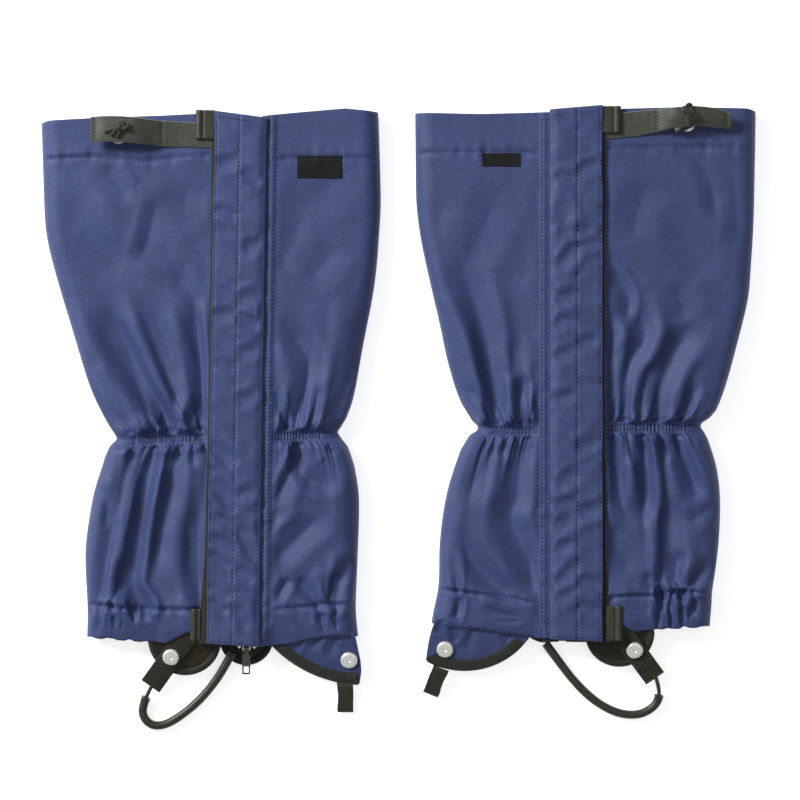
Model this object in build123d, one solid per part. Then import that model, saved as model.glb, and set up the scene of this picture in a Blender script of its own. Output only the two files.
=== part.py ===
from build123d import *
from dataclasses import dataclass
import math
import os

# A pair of mountaineering gaiters lying flat, side by side, millimetres.
# +X runs across the pair, +Y from the boot openings up to the top hems, +Z up from the surface.
# Each gaiter is built with U, the distance outward from the middle plane, and Y.
# The right gaiter keeps U as its X. The left gaiter is mirrored, so its X is -U.

MIDDLE_Y = 7.83         # middle of the pair without its instep cords, where the origin goes

# Heights
FABRIC = 1.0            # thickness of a fabric layer
TUBE_TOP = 20.0         # top of the flattened fabric tube
TUBE_UNDER = TUBE_TOP - FABRIC
WALL = 1.2              # thickness of a side fold, measured across
TAPE = 0.7              # thickness of a zip tape
WEBBING = 2.4           # thickness of the instep webbing and the folded edge tabs
COATED_STRAP = 1.3
FLAP_UNDER = 24.0
FLAP_THICK = 2.0
CLOSURE_TAPE = 1.5      # thickness of the hook tape and of the loop tape
CLEAR = 0.3

# Zip, flap and closure, across from the zip's centre line
PANEL_EDGE = 5.5
TAPE_HALF = 15.0
TEETH_IN = 0.7
TEETH_OUT = 2.6
TEETH_LOW = 17.4
TEETH_TOP = 19.7
STOP_LENGTH = 3.5
STOP_PROUD = 0.15
FLAP_ROOT = -10.0
FLAP_FREE = 29.6
WELT_WIDTH = 6.0
FLAP_BELOW = 3.2        # how far the flap reaches below the zip's lower end
TAPE_BELOW = 3.0
HOOK_IN, HOOK_OUT = 14.0, 28.0
LOOP_IN, LOOP_OUT = 8.0, 31.5
CLOSURE_LOW, CLOSURE_HIGH = 30.0, 365.0

# Zip slider and pull
SLIDER_HALF = 4.75
SLIDER_LENGTH = 14.0
SLIDER_LOW, SLIDER_TOP = 15.7, 21.5
CHANNEL_LOW, CHANNEL_TOP = 17.1, 20.1
FLANGE = 0.7
POST_HALF = 0.4
EAR_IN, EAR_OUT = 2.0, 3.0
PIN_Z = 22.2
PIN_R = 0.6
PIN_BORE_R = 0.7
EYE_R = 1.35
PIN_DROP = 5.6          # from the slider's lower end to the pull's pin
PULL_LENGTH = 19.0
PULL_WIDTH = 6.0
PULL_THICK = 1.3

# Cord lock and drawcord
CORD_R = 1.5
STRAND_PITCH = 1.6      # half the distance between the two strands
EYELET_R, EYELET_BORE_R = 6.0, 3.5
EYELET_NECK_R = 4.2
EYELET_FLANGE = 0.8
LOCK_Z = 25.3
LOCK_R, LOCK_BORE_R, PLUNGER_R = 4.2, 3.2, 3.0
LOCK_BACK, LOCK_FRONT = -10.0, 7.5
LOCK_BORE_BACK = -8.8
PLUNGER_BACK, PLUNGER_FRONT = -4.8, 11.0
LOCK_TRAVEL = 2.5
SLOT_HALF, SLOT_WIDTH = 3.6, 3.6
SPRING_R, SPRING_BORE_R = 2.7, 2.1
TAB_UNDER = 29.9        # underside of the strap tab where it passes over the lock
TAB_THICK = 1.8
TAB_START_Z = 21.8
KNOT_R, KNOT_THICK = 5.5, 4.8
HEM_CORD_TOP, HEM_CORD_LOW = 16.4, 3.0
HEM_CORD_BEND = 6.0

# Pieces that hang from the bottom hem, on a plane that slopes down to the surface
DRAPE_Z = 14.2
DRAPE_DEG = 15.0
DRAPE_TUCK = 5.0        # how far they reach up inside the hem
PATCH = 1.2
BINDING_WRAP = 0.8
TONGUE_BINDING = 7.0
PATCH_BINDING = 3.5
BINDING_EDGE = 1.0
RIVET_R = 6.35
RIVET_CAP = 2.2
STEM_R = 2.0
STEM_BORE_R = 2.05
WASHER_R, WASHER = 5.5, 1.0
WEBBING_WIDTH = 16.5
HOOK_WIRE_R = 1.0
TUBE_R, TUBE_BORE_R = 3.25, 1.7
LOOP_THICK, LOOP_SLIT = 2.8, 0.6


@dataclass
class Gaiter:
    """The places that differ between the two gaiters, as (U, Y) points or plain distances."""

    name: str
    outer: list             # outer silhouette, top to bottom
    inner: list             # inner silhouette, top to bottom
    top: list               # the top edge between them, outer to inner
    zip_low: tuple          # lower end of the zip
    zip_tilt: float         # lean of the zip, degrees
    zip_length: float
    flap_length: float
    slider_y: float         # lower end of the slider, along the zip
    pull_droop: float
    tab_top: tuple          # upper edge tab along the closure: across low, high, along low, high
    tab_bottom: tuple
    strap: list             # corners of the sewn-down strap
    tab_u: tuple            # strap tab: start, over the lock from, to, free end
    tab_end_z: float
    tab_y: tuple
    lock: tuple             # where the cords pass through eyelet, lock and tab
    lock_angle: float
    knot: tuple
    tails: list
    cord_y: float
    waist_y: float
    waist_outer: float
    waist_inner: float
    heel: tuple             # hem elastic: U low, U high, Y low, Y high
    label: tuple
    hem_y: float
    tongue_y: float
    tongue_edge: list       # the tongue's curved lower edge, three points of one arc
    tongue_inner: float
    tongue_outer: float
    tongue_rivet: tuple
    lobe_a: tuple           # U, radius of the front patch
    lobe_b: tuple           # U, Y, radius of the rear patch
    webbing: tuple
    webbing_rivet: tuple
    route: list             # instep cord
    loop_start: tuple
    loop_turn: float
    loop_drop: float


LEFT = Gaiter(
    name="left",
    outer=[(268.9, 223), (266, 150), (236, 38), (211, -13), (231, -60), (235.5, -105), (234, -163)],
    inner=[(15.4, 230.6), (13.5, 150), (31, 42), (44.6, -12), (31, -48), (29.6, -75), (30, -165)],
    top=[(200, 227), (60, 232)],
    zip_low=(113.6, -165),
    zip_tilt=0.87,
    zip_length=390,
    flap_length=395.5,
    slider_y=-1.0,
    pull_droop=3.0,
    tab_top=(29.4, 44.0, 374, 396),
    tab_bottom=(27.6, 42.4, -1, 23),
    strap=[(123, 202.6), (177.8, 204.2), (177.8, 223.3), (123, 221.8)],
    tab_u=(178.4, 197.0, 221.5, 229.9),
    tab_end_z=27.5,
    tab_y=(207.0, 226.3),
    lock=(209.5, 212.2),
    lock_angle=180,
    knot=(205.4, 218.6),
    tails=[(219.0, 214.4), (214.6, 211.6)],
    cord_y=213,
    waist_y=-12.5,
    waist_outer=205,
    waist_inner=50,
    heel=(190, 228, -157, -147),
    label=(42.4, 75.75, 180.75, 197.6),
    hem_y=-165,
    tongue_y=-165,
    tongue_edge=[(98, -166), (62, -192.5), (28.3, -199.5)],
    tongue_inner=28.3,
    tongue_outer=97,
    tongue_rivet=(37.3, -180.4),
    lobe_a=(160.5, 27.0),
    lobe_b=(114.8, -165, 19.9),
    webbing=((157.3, -160), (185.1, -198.5)),
    webbing_rivet=(170.7, -177.2),
    route=[
        (185.6, -200.2, 7.3), (188.2, -205.2, 6.3), (191.9, -213.6, 4.9), (193.3, -222.6, 3.9),
        (187.4, -230.4, 3.6), (177.5, -230.9, 3.4), (166.0, -224.9, 3.5), (151.1, -213.0, 3.8),
        (138.0, -197.6, 4.6), (131.0, -186.2, 6.0), (124.8, -174.9, 6.7),
    ],
    loop_start=(40, -202.0, 5.0),
    loop_turn=0,
    loop_drop=8,
)

RIGHT = Gaiter(
    name="right",
    outer=[(268.9, 231), (266.5, 138), (246, 26), (227.6, -7), (239, -34), (242, -75), (234.6, -156)],
    inner=[(12.4, 229.9), (13.6, 150), (39, 30), (58.9, -7), (38, -48), (30.4, -100), (21.4, -165)],
    top=[(200, 232.5), (122, 232)],
    zip_low=(122.6, -163.5),
    zip_tilt=0,
    zip_length=390,
    flap_length=398.5,
    slider_y=22.6,
    pull_droop=0,
    tab_top=(29.4, 43.8, 377.5, 398),
    tab_bottom=(32.3, 45.0, -2, 24),
    strap=[(137, 209.8), (193, 214.8), (193, 230.8), (137, 227.6)],
    tab_u=(193.8, 204.6, 227, 248.4),
    tab_end_z=26.0,
    tab_y=(215.2, 234.6),
    lock=(216, 221.5),
    lock_angle=205,
    knot=(215.3, 231.0),
    tails=[(219.4, 222.6), (223.2, 224.4)],
    cord_y=216,
    waist_y=-7,
    waist_outer=221,
    waist_inner=64,
    heel=(190, 228, -149, -139),
    label=(62.6, 91.1, 189.4, 199.5),
    hem_y=-160,
    tongue_y=-165.2,
    tongue_edge=[(98, -163), (62, -187.5), (20.8, -181)],
    tongue_inner=20.8,
    tongue_outer=97,
    tongue_rivet=(34.9, -172.1),
    lobe_a=(166, 25.6),
    lobe_b=(111, -148, 19.9),
    webbing=((166.0, -157.8), (191.4, -192.5)),
    webbing_rivet=(177.2, -172.1),
    route=[
        (193.5, -193.9, 7.4), (196.6, -203.0, 6.0), (195.6, -212.6, 4.7), (188.5, -219.6, 3.9),
        (178.5, -223.1, 3.5), (164.0, -221.3, 3.4), (148.0, -212.6, 3.5), (134.0, -199.5, 4.0),
        (121.5, -183.6, 5.2), (110.8, -168.6, 6.7),
    ],
    loop_start=(30.5, -190.4, 8.0),
    loop_turn=-21,
    loop_drop=16,
)


def block(x0, x1, y0, y1, z0, z1):
    """A box between two corners."""
    middle = Pos((x0 + x1) / 2, (y0 + y1) / 2, (z0 + z1) / 2)
    return middle * Box(x1 - x0, y1 - y0, z1 - z0)


def prism(points, z0, z1):
    """A closed outline of straight lines, extruded upward."""
    face = make_face(Polyline(*points, close=True))
    return Pos(0, 0, z0) * extrude(face, amount=z1 - z0)


def disc(x, y, radius, z0, z1):
    """An upright cylinder."""
    return Pos(x, y, (z0 + z1) / 2) * Cylinder(radius, z1 - z0)


def rod(start, end, radius):
    """A round rod between two points."""
    line = Line(start, end)
    return sweep(Plane(origin=start, z_dir=line % 0) * Circle(radius), path=line)


def group(*solids):
    """Several separate solids kept in one node."""
    return Compound([s for part in solids for s in part.solids()])


def zip_place(g):
    """The frame of the zip: origin at its lower end, y up along it."""
    return Location((g.zip_low[0], g.zip_low[1], 0), (0, 0, g.zip_tilt))


def zip_point(g, across, along):
    """A point of the zip's frame as (U, Y)."""
    tilt = math.radians(g.zip_tilt)
    u = g.zip_low[0] + across * math.cos(tilt) - along * math.sin(tilt)
    return (u, g.zip_low[1] + across * math.sin(tilt) + along * math.cos(tilt))


def drape_place(hem_y):
    """The frame of the pieces hanging from the hem: x across, y up the slope."""
    return Location((0, hem_y, DRAPE_Z), (DRAPE_DEG, 0, 0))


def drape_y(hem_y, y):
    """How far along the slope a place at plan height y lies."""
    return (y - hem_y) / math.cos(math.radians(DRAPE_DEG))


# ---- fabric tube ----

def side_wall(points, inward):
    """The upright fold of fabric along one side."""
    shifted = [(u + inward, y) for u, y in reversed(points)]
    return prism(points + shifted, FABRIC, TUBE_UNDER)


def back_panel(g):
    outline = g.outer + g.inner[::-1] + g.top[::-1]
    return prism(outline, 0, FABRIC)


def outer_panel(g):
    top = zip_point(g, PANEL_EDGE, g.zip_length + 3)
    low = zip_point(g, PANEL_EDGE, -TAPE_BELOW)
    front = prism(g.outer + [low, top, g.top[0]], TUBE_UNDER, TUBE_TOP)
    hole = disc(*g.lock, EYELET_NECK_R + 0.05, TUBE_UNDER - 1, TUBE_TOP + 1)
    return front + side_wall(g.outer, -WALL) - hole


def inner_panel(g):
    top = zip_point(g, -PANEL_EDGE, g.zip_length + 3)
    low = zip_point(g, -PANEL_EDGE, -TAPE_BELOW)
    inner_top = g.top[1] if g.top[1][0] < top[0] - 1 else ((top[0] + g.inner[0][0]) / 2, top[1])
    front = prism(g.inner + [low, top, inner_top], TUBE_UNDER, TUBE_TOP)
    welt_in, welt_out = FLAP_ROOT - WELT_WIDTH, FLAP_ROOT - CLEAR
    welt = zip_place(g) * block(welt_in, welt_out, 0, g.zip_length, TUBE_TOP, TUBE_TOP + FABRIC)
    return front + side_wall(g.inner, WALL) + welt


def elastics(g):
    """Waist elastic behind the front and back layers, and heel elastic in the bottom hem."""
    zip_u = zip_point(g, 0, g.waist_y - g.zip_low[1])[0]
    low, high = g.waist_y - 3.3, g.waist_y + 3.3
    front = (TUBE_UNDER - 0.8, TUBE_UNDER)
    back = (FABRIC, FABRIC + 0.8)
    heel = g.heel
    return group(
        block(zip_u + TAPE_HALF + 1, g.waist_outer, low, high, *front),
        block(g.waist_inner, zip_u - TAPE_HALF - 1, low, high, *front),
        block(g.waist_inner, g.waist_outer, low, high, *back),
        block(*heel, *front),
        block(*heel, *back),
    )


def label(g):
    return block(*g.label, TUBE_TOP, TUBE_TOP + 0.6)


# ---- storm flap and its closure ----

def storm_flap(g):
    root, free = FLAP_ROOT + CLEAR, FLAP_FREE
    plate = block(root, free, -FLAP_BELOW, g.flap_length, FLAP_UNDER, FLAP_UNDER + FLAP_THICK)
    return zip_place(g) * fillet(plate.edges().filter_by(Axis.Y).sort_by(Axis.X)[2:], 0.8)


def hook_tape(g):
    low = FLAP_UNDER - CLOSURE_TAPE
    return zip_place(g) * block(HOOK_IN, HOOK_OUT, CLOSURE_LOW, CLOSURE_HIGH, low, FLAP_UNDER)


def loop_tape(g):
    top = TUBE_TOP + CLOSURE_TAPE
    return zip_place(g) * block(LOOP_IN, LOOP_OUT, CLOSURE_LOW, CLOSURE_HIGH, TUBE_TOP, top)


def folded_tab(box, z0):
    """A short length of webbing folded back on itself, the fold away from the flap."""
    x0, x1, y0, y1 = box
    tab = block(x0, x1, y0, y1, z0, z0 + WEBBING)
    tab = fillet(tab.edges().filter_by(Axis.Y).sort_by(Axis.X)[2:], WEBBING / 2 - 0.05)
    middle = z0 + WEBBING / 2
    return tab - block(x0 - 1, x1 - 2, y0 - 1, y1 + 1, middle - 0.1, middle + 0.1)


def edge_tabs(g):
    upper = folded_tab(g.tab_top, TUBE_TOP + COATED_STRAP)
    lower = folded_tab(g.tab_bottom, TUBE_TOP)
    return group(zip_place(g) * upper, zip_place(g) * lower)


# ---- zip ----

def zip_tapes(g):
    low, top = TUBE_UNDER - TAPE, TUBE_UNDER
    sides = [(TEETH_OUT, TAPE_HALF), (-TAPE_HALF, -TEETH_OUT)]
    return group(*[zip_place(g) * block(a, b, -TAPE_BELOW, g.zip_length, low, top) for a, b in sides])


def zip_teeth(g):
    """Two rows of teeth, each a plain rail, with a stop at each end."""
    solids = []
    for a, b in [(TEETH_IN, TEETH_OUT), (-TEETH_OUT, -TEETH_IN)]:
        rail = block(a, b, STOP_LENGTH, g.zip_length - STOP_LENGTH, TEETH_LOW, TEETH_TOP)
        for end in (0, g.zip_length - STOP_LENGTH):
            low, top = TEETH_LOW - STOP_PROUD, TEETH_TOP + STOP_PROUD
            rail += block(a, b, end, end + STOP_LENGTH, low, top)
        solids.append(zip_place(g) * rail)
    return group(*solids)


def zip_slider(g):
    """Two plates joined by a post between the rows, with ears and a pin for the pull."""
    y0, y1 = g.slider_y, g.slider_y + SLIDER_LENGTH
    half = SLIDER_HALF
    lower = block(-half, half, y0, y1, SLIDER_LOW, CHANNEL_LOW)
    upper = block(-half, half, y0, y1, CHANNEL_TOP, SLIDER_TOP)
    plates = [fillet(p.edges().filter_by(Axis.Z), 2.0) for p in (lower, upper)]
    post = block(-POST_HALF, POST_HALF, y0 + 6, y1 - 2, CHANNEL_LOW - 0.2, CHANNEL_TOP + 0.2)
    body = plates[0] + plates[1] + post
    for side in (-1, 1):
        edge = sorted((side * half, side * (half - 0.85)))
        body += block(*edge, y0 + 2.2, y1 - 2.2, CHANNEL_TOP - FLANGE, CHANNEL_TOP + 0.1)
        body += block(*edge, y0 + 2.2, y1 - 2.2, CHANNEL_LOW - 0.1, CHANNEL_LOW + FLANGE)
        ear_x = sorted((side * EAR_IN, side * EAR_OUT))
        ear = block(*ear_x, y0 - PIN_DROP - 1.2, y0 + 3, CHANNEL_TOP + 0.6, PIN_Z + 1.1)
        body += fillet(ear.edges().filter_by(Axis.X).group_by(Axis.Z)[-1], 0.9)
    pin = Pos(0, y0 - PIN_DROP, PIN_Z) * Rot(0, 90, 0) * Cylinder(PIN_R, 2 * EAR_IN + 1)
    return zip_place(g) * (body + pin)


def zip_pull(g):
    """A flat pull with an eye round the slider's pin and a slot near its free end."""
    shank = block(-1.75, 1.75, -6, 0, -PULL_THICK / 2, PULL_THICK / 2)
    blade = block(-PULL_WIDTH / 2, PULL_WIDTH / 2, -PULL_LENGTH, -4, -PULL_THICK / 2, PULL_THICK / 2)
    blade = fillet(blade.edges().filter_by(Axis.Z), 0.9)
    window = block(-1.9, 1.9, -PULL_LENGTH + 1.2, -PULL_LENGTH + 6, -2, 2)
    eye = Rot(0, 90, 0) * Cylinder(EYE_R, 3.5)
    bore = Rot(0, 90, 0) * Cylinder(PIN_BORE_R, 8)
    pull = blade + shank + eye - window - bore
    at_pin = Location((0, g.slider_y - PIN_DROP, PIN_Z), (g.pull_droop, 0, 0))
    return zip_place(g) * at_pin * pull


# ---- strap, cord lock and drawcord at the top hem ----

def strap_base(g):
    return prism(g.strap, TUBE_TOP, TUBE_TOP + COATED_STRAP)


def strap_tab(g):
    """The doubled free half of the strap, bowed over the cord lock."""
    start, lift, drop, end = g.tab_u
    under = [(start, TAB_START_Z), (lift, TAB_UNDER), (drop, TAB_UNDER), (end, g.tab_end_z)]
    over = [(u, z + TAB_THICK) for u, z in reversed(under)]
    profile = Plane.XZ * make_face(Polyline(*under, *over, close=True))
    width = g.tab_y[1] - g.tab_y[0]
    tab = Pos(0, g.tab_y[1], 0) * extrude(profile, amount=width)
    slot = block(-SLOT_HALF, SLOT_HALF, -SLOT_WIDTH / 2, SLOT_WIDTH / 2, TAB_UNDER - 3, TAB_UNDER + 5)
    return tab - lock_place(g, 0) * slot


def lock_place(g, height):
    """The frame of the cord lock: x along its barrel towards the button."""
    return Location((*g.lock, height), (0, 0, g.lock_angle))


def along_lock(x0, x1, radius):
    """A cylinder along the barrel's axis."""
    return Pos((x0 + x1) / 2, 0, 0) * Rot(0, 90, 0) * Cylinder(radius, x1 - x0)


def cord_lock_barrel(g):
    shell = along_lock(LOCK_BACK, LOCK_FRONT, LOCK_R)
    shell = fillet(shell.edges().filter_by(GeomType.CIRCLE), 0.45)
    slot = block(-SLOT_HALF, SLOT_HALF, -SLOT_WIDTH / 2, SLOT_WIDTH / 2, -9, 9)
    return lock_place(g, LOCK_Z) * (shell - along_lock(LOCK_BORE_BACK, LOCK_FRONT + 1, LOCK_BORE_R) - slot)


def cord_lock_plunger(g):
    body = along_lock(PLUNGER_BACK, PLUNGER_FRONT, PLUNGER_R)
    body = fillet(body.edges().filter_by(GeomType.CIRCLE), 0.5)
    slot = block(-3.3, 3.4 + LOCK_TRAVEL, -SLOT_WIDTH / 2, SLOT_WIDTH / 2, -9, 9)
    return lock_place(g, LOCK_Z) * (body - slot)


def cord_lock_spring(g):
    coil = along_lock(LOCK_BORE_BACK, PLUNGER_BACK, SPRING_R)
    return lock_place(g, LOCK_Z) * (coil - along_lock(LOCK_BACK, 0, SPRING_BORE_R))


def hem_eyelet(g):
    flange = disc(0, 0, EYELET_R, TUBE_TOP, TUBE_TOP + EYELET_FLANGE)
    flange = fillet(flange.edges().group_by(Axis.Z)[-1], 0.5)
    neck = disc(0, 0, EYELET_NECK_R, TUBE_UNDER - EYELET_FLANGE, TUBE_TOP + 0.1)
    back = disc(0, 0, EYELET_R - 0.6, TUBE_UNDER - EYELET_FLANGE, TUBE_UNDER)
    return Pos(*g.lock, 0) * (flange + neck + back - disc(0, 0, EYELET_BORE_R, 10, 30))


def drawcord_knot(g):
    """The drawcord's two ends, up through lock and tab and tied on its face."""
    top = TAB_UNDER + TAB_THICK + 0.05
    level = top + CORD_R
    place = lock_place(g, 0)
    knot = disc(*g.knot, KNOT_R, top, top + KNOT_THICK)
    solid = fillet(knot.edges().filter_by(GeomType.CIRCLE), 2.0)
    for x in (-STRAND_PITCH, STRAND_PITCH):
        solid += place * disc(x, 0, CORD_R, TUBE_UNDER + 0.2, level)
        foot = (place * Pos(x, 0, level)).position
        solid += Pos(*foot) * Sphere(CORD_R)
        solid += rod(tuple(foot), (*g.knot, level), CORD_R)
    for u, y in g.tails:
        solid += rod((*g.knot, level + 1), (u, y, level), CORD_R)
    return solid


def drawcord(g):
    """The stretch inside the top hem: round the front, both side folds and the back."""
    zip_u = zip_point(g, 0, g.cord_y - g.zip_low[1])[0]
    far, near = g.outer[0][0] - WALL - 3.0, g.inner[0][0] + WALL + 3.0
    points = [
        (zip_u + TAPE_HALF + 3, HEM_CORD_TOP), (far, HEM_CORD_TOP), (far, HEM_CORD_LOW),
        (near, HEM_CORD_LOW), (near, HEM_CORD_TOP), (zip_u - TAPE_HALF - 3, HEM_CORD_TOP),
    ]
    path = FilletPolyline(*[(u, g.cord_y, z) for u, z in points], radius=HEM_CORD_BEND)
    return sweep(Plane(origin=path @ 0, z_dir=path % 0) * Circle(CORD_R), path=path)


# ---- tongue, patches, instep webbing and rivets at the bottom hem ----

def tongue_face(g):
    """A disc whose edge is the tongue's curved lower edge."""
    edge = ThreePointArc(*[(u, drape_y(g.tongue_y, y)) for u, y in g.tongue_edge])
    return Pos(*edge.arc_center) * Circle(edge.radius)


def bound_patch(face, region, z0, width, wrap_under):
    """A fabric patch and the tape of a given width folded round its edge, cut to a region."""
    plate_face = offset(face, amount=-BINDING_EDGE)
    inner_face = offset(face, amount=-width)
    plate = Pos(0, 0, z0) * extrude(plate_face, amount=PATCH)
    band = extrude(face - inner_face, amount=PATCH + BINDING_WRAP + wrap_under)
    band = Pos(0, 0, z0 - wrap_under) * band - plate
    return plate & region, band & region


def tongue_and_binding(g):
    region = block(g.tongue_inner, g.tongue_outer, -60, 0, -5, 5)
    plate, band = bound_patch(tongue_face(g), region, 0, TONGUE_BINDING, BINDING_WRAP)
    hole = disc(g.tongue_rivet[0], drape_y(g.tongue_y, g.tongue_rivet[1]), STEM_BORE_R, -5, 5)
    place = drape_place(g.tongue_y)
    return place * (plate - hole), place * band


def front_patch_and_binding(g):
    u, radius = g.lobe_a
    region = block(u - 40, u + 40, -60, DRAPE_TUCK, -5, 5)
    face = Circle(radius / math.cos(math.radians(DRAPE_DEG)))
    plate, band = bound_patch(Pos(u, 0) * face, region, 0, PATCH_BINDING, BINDING_WRAP)
    hole = disc(g.webbing_rivet[0], drape_y(g.hem_y, g.webbing_rivet[1]), STEM_BORE_R, -5, 5)
    band -= block(u - 40, u + 40, -60, 20, PATCH, 5)
    place = drape_place(g.hem_y)
    return place * (plate - hole), place * band


def rear_patch_and_binding(g):
    u, y, radius = g.lobe_b
    region = block(u - 40, u + 40, y - 40, y + 12, FABRIC, 5)
    return bound_patch(Pos(u, y) * Circle(radius), region, FABRIC, PATCH_BINDING, 0)


def instep_webbing(g):
    """Ribbed webbing that slants down over the front patch."""
    (u0, y0), (u1, y1) = g.webbing
    y0, y1 = drape_y(g.hem_y, y0), drape_y(g.hem_y, y1)
    length = math.hypot(u1 - u0, y1 - y0)
    turn = math.degrees(math.atan2(y1 - y0, u1 - u0))
    strip = block(0, length, -WEBBING_WIDTH / 2, WEBBING_WIDTH / 2, PATCH, PATCH + WEBBING)
    strip = Location((u0, y0, 0), (0, 0, turn)) * strip
    strip &= block(u0 - 40, u1 + 40, -80, DRAPE_TUCK, -5, 9)
    hole = disc(g.webbing_rivet[0], drape_y(g.hem_y, g.webbing_rivet[1]), STEM_BORE_R, -5, 9)
    return drape_place(g.hem_y) * (strip - hole)


def rivet(u, y, under, top):
    """A domed cap with a dimple, its stem, and a washer below."""
    cap = disc(u, y, RIVET_R, top, top + RIVET_CAP)
    cap = fillet(cap.edges().group_by(Axis.Z)[-1], RIVET_CAP - 0.3)
    cap -= Pos(u, y, top + RIVET_CAP + 1.2) * Sphere(1.8)
    stem = disc(u, y, STEM_R, under - 0.1, top + 0.1)
    if under < 0:
        return cap + stem + disc(u, y, WASHER_R, under, 0)
    return cap + stem


def rivets(g):
    instep_y = drape_y(g.hem_y, g.webbing_rivet[1])
    tongue_y = drape_y(g.tongue_y, g.tongue_rivet[1])
    instep = rivet(g.webbing_rivet[0], instep_y, -WASHER, PATCH + WEBBING)
    tongue = rivet(g.tongue_rivet[0], tongue_y, 0, PATCH)
    return group(drape_place(g.hem_y) * instep, drape_place(g.tongue_y) * tongue)


def lace_hook(g):
    """A wire hook on a round base, behind the tongue's rivet."""
    u, y = g.tongue_rivet[0], drape_y(g.tongue_y, g.tongue_rivet[1])
    base = disc(u, y, WASHER_R, -WASHER, -0.15)
    points = [(u, y + 3, -0.7), (u, y + 3, -5.2), (u, y - 5.5, -5.2), (u, y - 5.5, -2.9)]
    path = FilletPolyline(*points, radius=1.1)
    wire = sweep(Plane(origin=path @ 0, z_dir=path % 0) * Circle(HOOK_WIRE_R), path=path)
    return drape_place(g.tongue_y) * (base + wire)


def pull_loop(g):
    """A short loop of folded webbing at the tip of the tongue."""
    width, length = 12.0, 19.0
    loop = block(-width / 2, width / 2, -length, 0, -LOOP_THICK / 2, LOOP_THICK / 2)
    loop = fillet(loop.edges().filter_by(Axis.X).group_by(Axis.Y)[0], LOOP_THICK / 2 - 0.05)
    slit = block(-width, width, -length + 1.6, 1, -LOOP_SLIT / 2, LOOP_SLIT / 2)
    loop -= slit
    return Location(g.loop_start, (g.loop_drop, 0, g.loop_turn)) * loop


def corner_radii(points):
    """The largest arcs that a route's runs allow, one for each corner."""
    corners = [Vector(*p) for p in points]
    radii = []
    for before, corner, after in zip(corners, corners[1:], corners[2:]):
        first, second = corner - before, after - corner
        half_turn = math.radians(first.get_angle(second)) / 2
        radii.append(0.45 * min(first.length, second.length) / math.tan(half_turn))
    return radii


def instep_cord_and_tube(g):
    """The cord under the boot, and the rubber tube on all but its first stretch."""
    radii = corner_radii(g.route)
    print(g.name, "instep cord radii", [round(r, 1) for r in radii])
    path = FilletPolyline(*g.route, radius=radii)
    cord = sweep(Plane(origin=path @ 0, z_dir=path % 0) * Circle(CORD_R), path=path)
    mouth = (Vector(*g.route[1]) + Vector(*g.route[2])) / 2
    covered = FilletPolyline(tuple(mouth), *g.route[2:], radius=radii[1:])
    start = Plane(origin=covered @ 0, z_dir=covered % 0)
    tube = sweep(start * Circle(TUBE_R), path=covered) - sweep(start * Circle(TUBE_BORE_R), path=covered)
    print(g.name, "cord length", round(path.length, 1), "tube length", round(covered.length, 1))
    print(g.name, "cord volume over section times length", cord.volume / (math.pi * CORD_R**2 * path.length))
    return cord, tube


def build(g):
    """Every node of one gaiter, in (U, Y)."""
    tongue, tongue_binding = tongue_and_binding(g)
    front_patch, front_binding = front_patch_and_binding(g)
    rear_patch, rear_binding = rear_patch_and_binding(g)
    cord, tube = instep_cord_and_tube(g)
    return {
        "back_panel": back_panel(g),
        "outer_panel": outer_panel(g),
        "inner_panel": inner_panel(g),
        "elastics": elastics(g),
        "label": label(g),
        "storm_flap": storm_flap(g),
        "hook_tape": hook_tape(g),
        "loop_tape": loop_tape(g),
        "edge_tabs": edge_tabs(g),
        "zip_tapes": zip_tapes(g),
        "zip_teeth": zip_teeth(g),
        "zip_slider": zip_slider(g),
        "zip_pull": zip_pull(g),
        "strap_base": strap_base(g),
        "strap_tab": strap_tab(g),
        "cord_lock_barrel": cord_lock_barrel(g),
        "cord_lock_plunger": cord_lock_plunger(g),
        "cord_lock_spring": cord_lock_spring(g),
        "hem_eyelet": hem_eyelet(g),
        "drawcord": drawcord(g),
        "drawcord_knot": drawcord_knot(g),
        "lace_tongue": tongue,
        "edge_bindings": group(tongue_binding, front_binding, rear_binding),
        "instep_patches": group(front_patch, rear_patch),
        "instep_webbing": instep_webbing(g),
        "rivets": rivets(g),
        "lace_hook": lace_hook(g),
        "pull_loop": pull_loop(g),
        "instep_cord": cord,
        "instep_tube": tube,
    }


os.makedirs("parts", exist_ok=True)
for gaiter in (LEFT, RIGHT):
    for node, shape in build(gaiter).items():
        if gaiter is LEFT:
            shape = shape.mirror(Plane.YZ)
        shape = Pos(0, -MIDDLE_Y, 0) * shape
        export_step(shape, f"parts/{gaiter.name}_{node}.step")
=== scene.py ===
import math
from functools import partial
from types import SimpleNamespace

import bpy
import bmesh
import numpy as np
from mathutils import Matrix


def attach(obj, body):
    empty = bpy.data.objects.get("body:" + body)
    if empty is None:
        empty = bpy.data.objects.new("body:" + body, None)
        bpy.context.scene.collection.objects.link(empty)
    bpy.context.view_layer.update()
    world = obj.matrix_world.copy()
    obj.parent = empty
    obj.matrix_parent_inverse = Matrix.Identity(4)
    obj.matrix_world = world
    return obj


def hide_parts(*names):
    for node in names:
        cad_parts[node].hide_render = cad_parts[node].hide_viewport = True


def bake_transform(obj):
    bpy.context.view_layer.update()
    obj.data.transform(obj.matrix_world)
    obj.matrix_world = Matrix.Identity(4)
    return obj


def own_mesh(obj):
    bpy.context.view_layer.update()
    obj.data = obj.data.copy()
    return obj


# Looks for a pair of gaiters lying flat, side by side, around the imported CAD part.
# Lengths in this script are millimetres in each gaiter's own (U, Y, z): U runs outward from the
# middle plane. put() turns them into the frame's metres.

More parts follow.
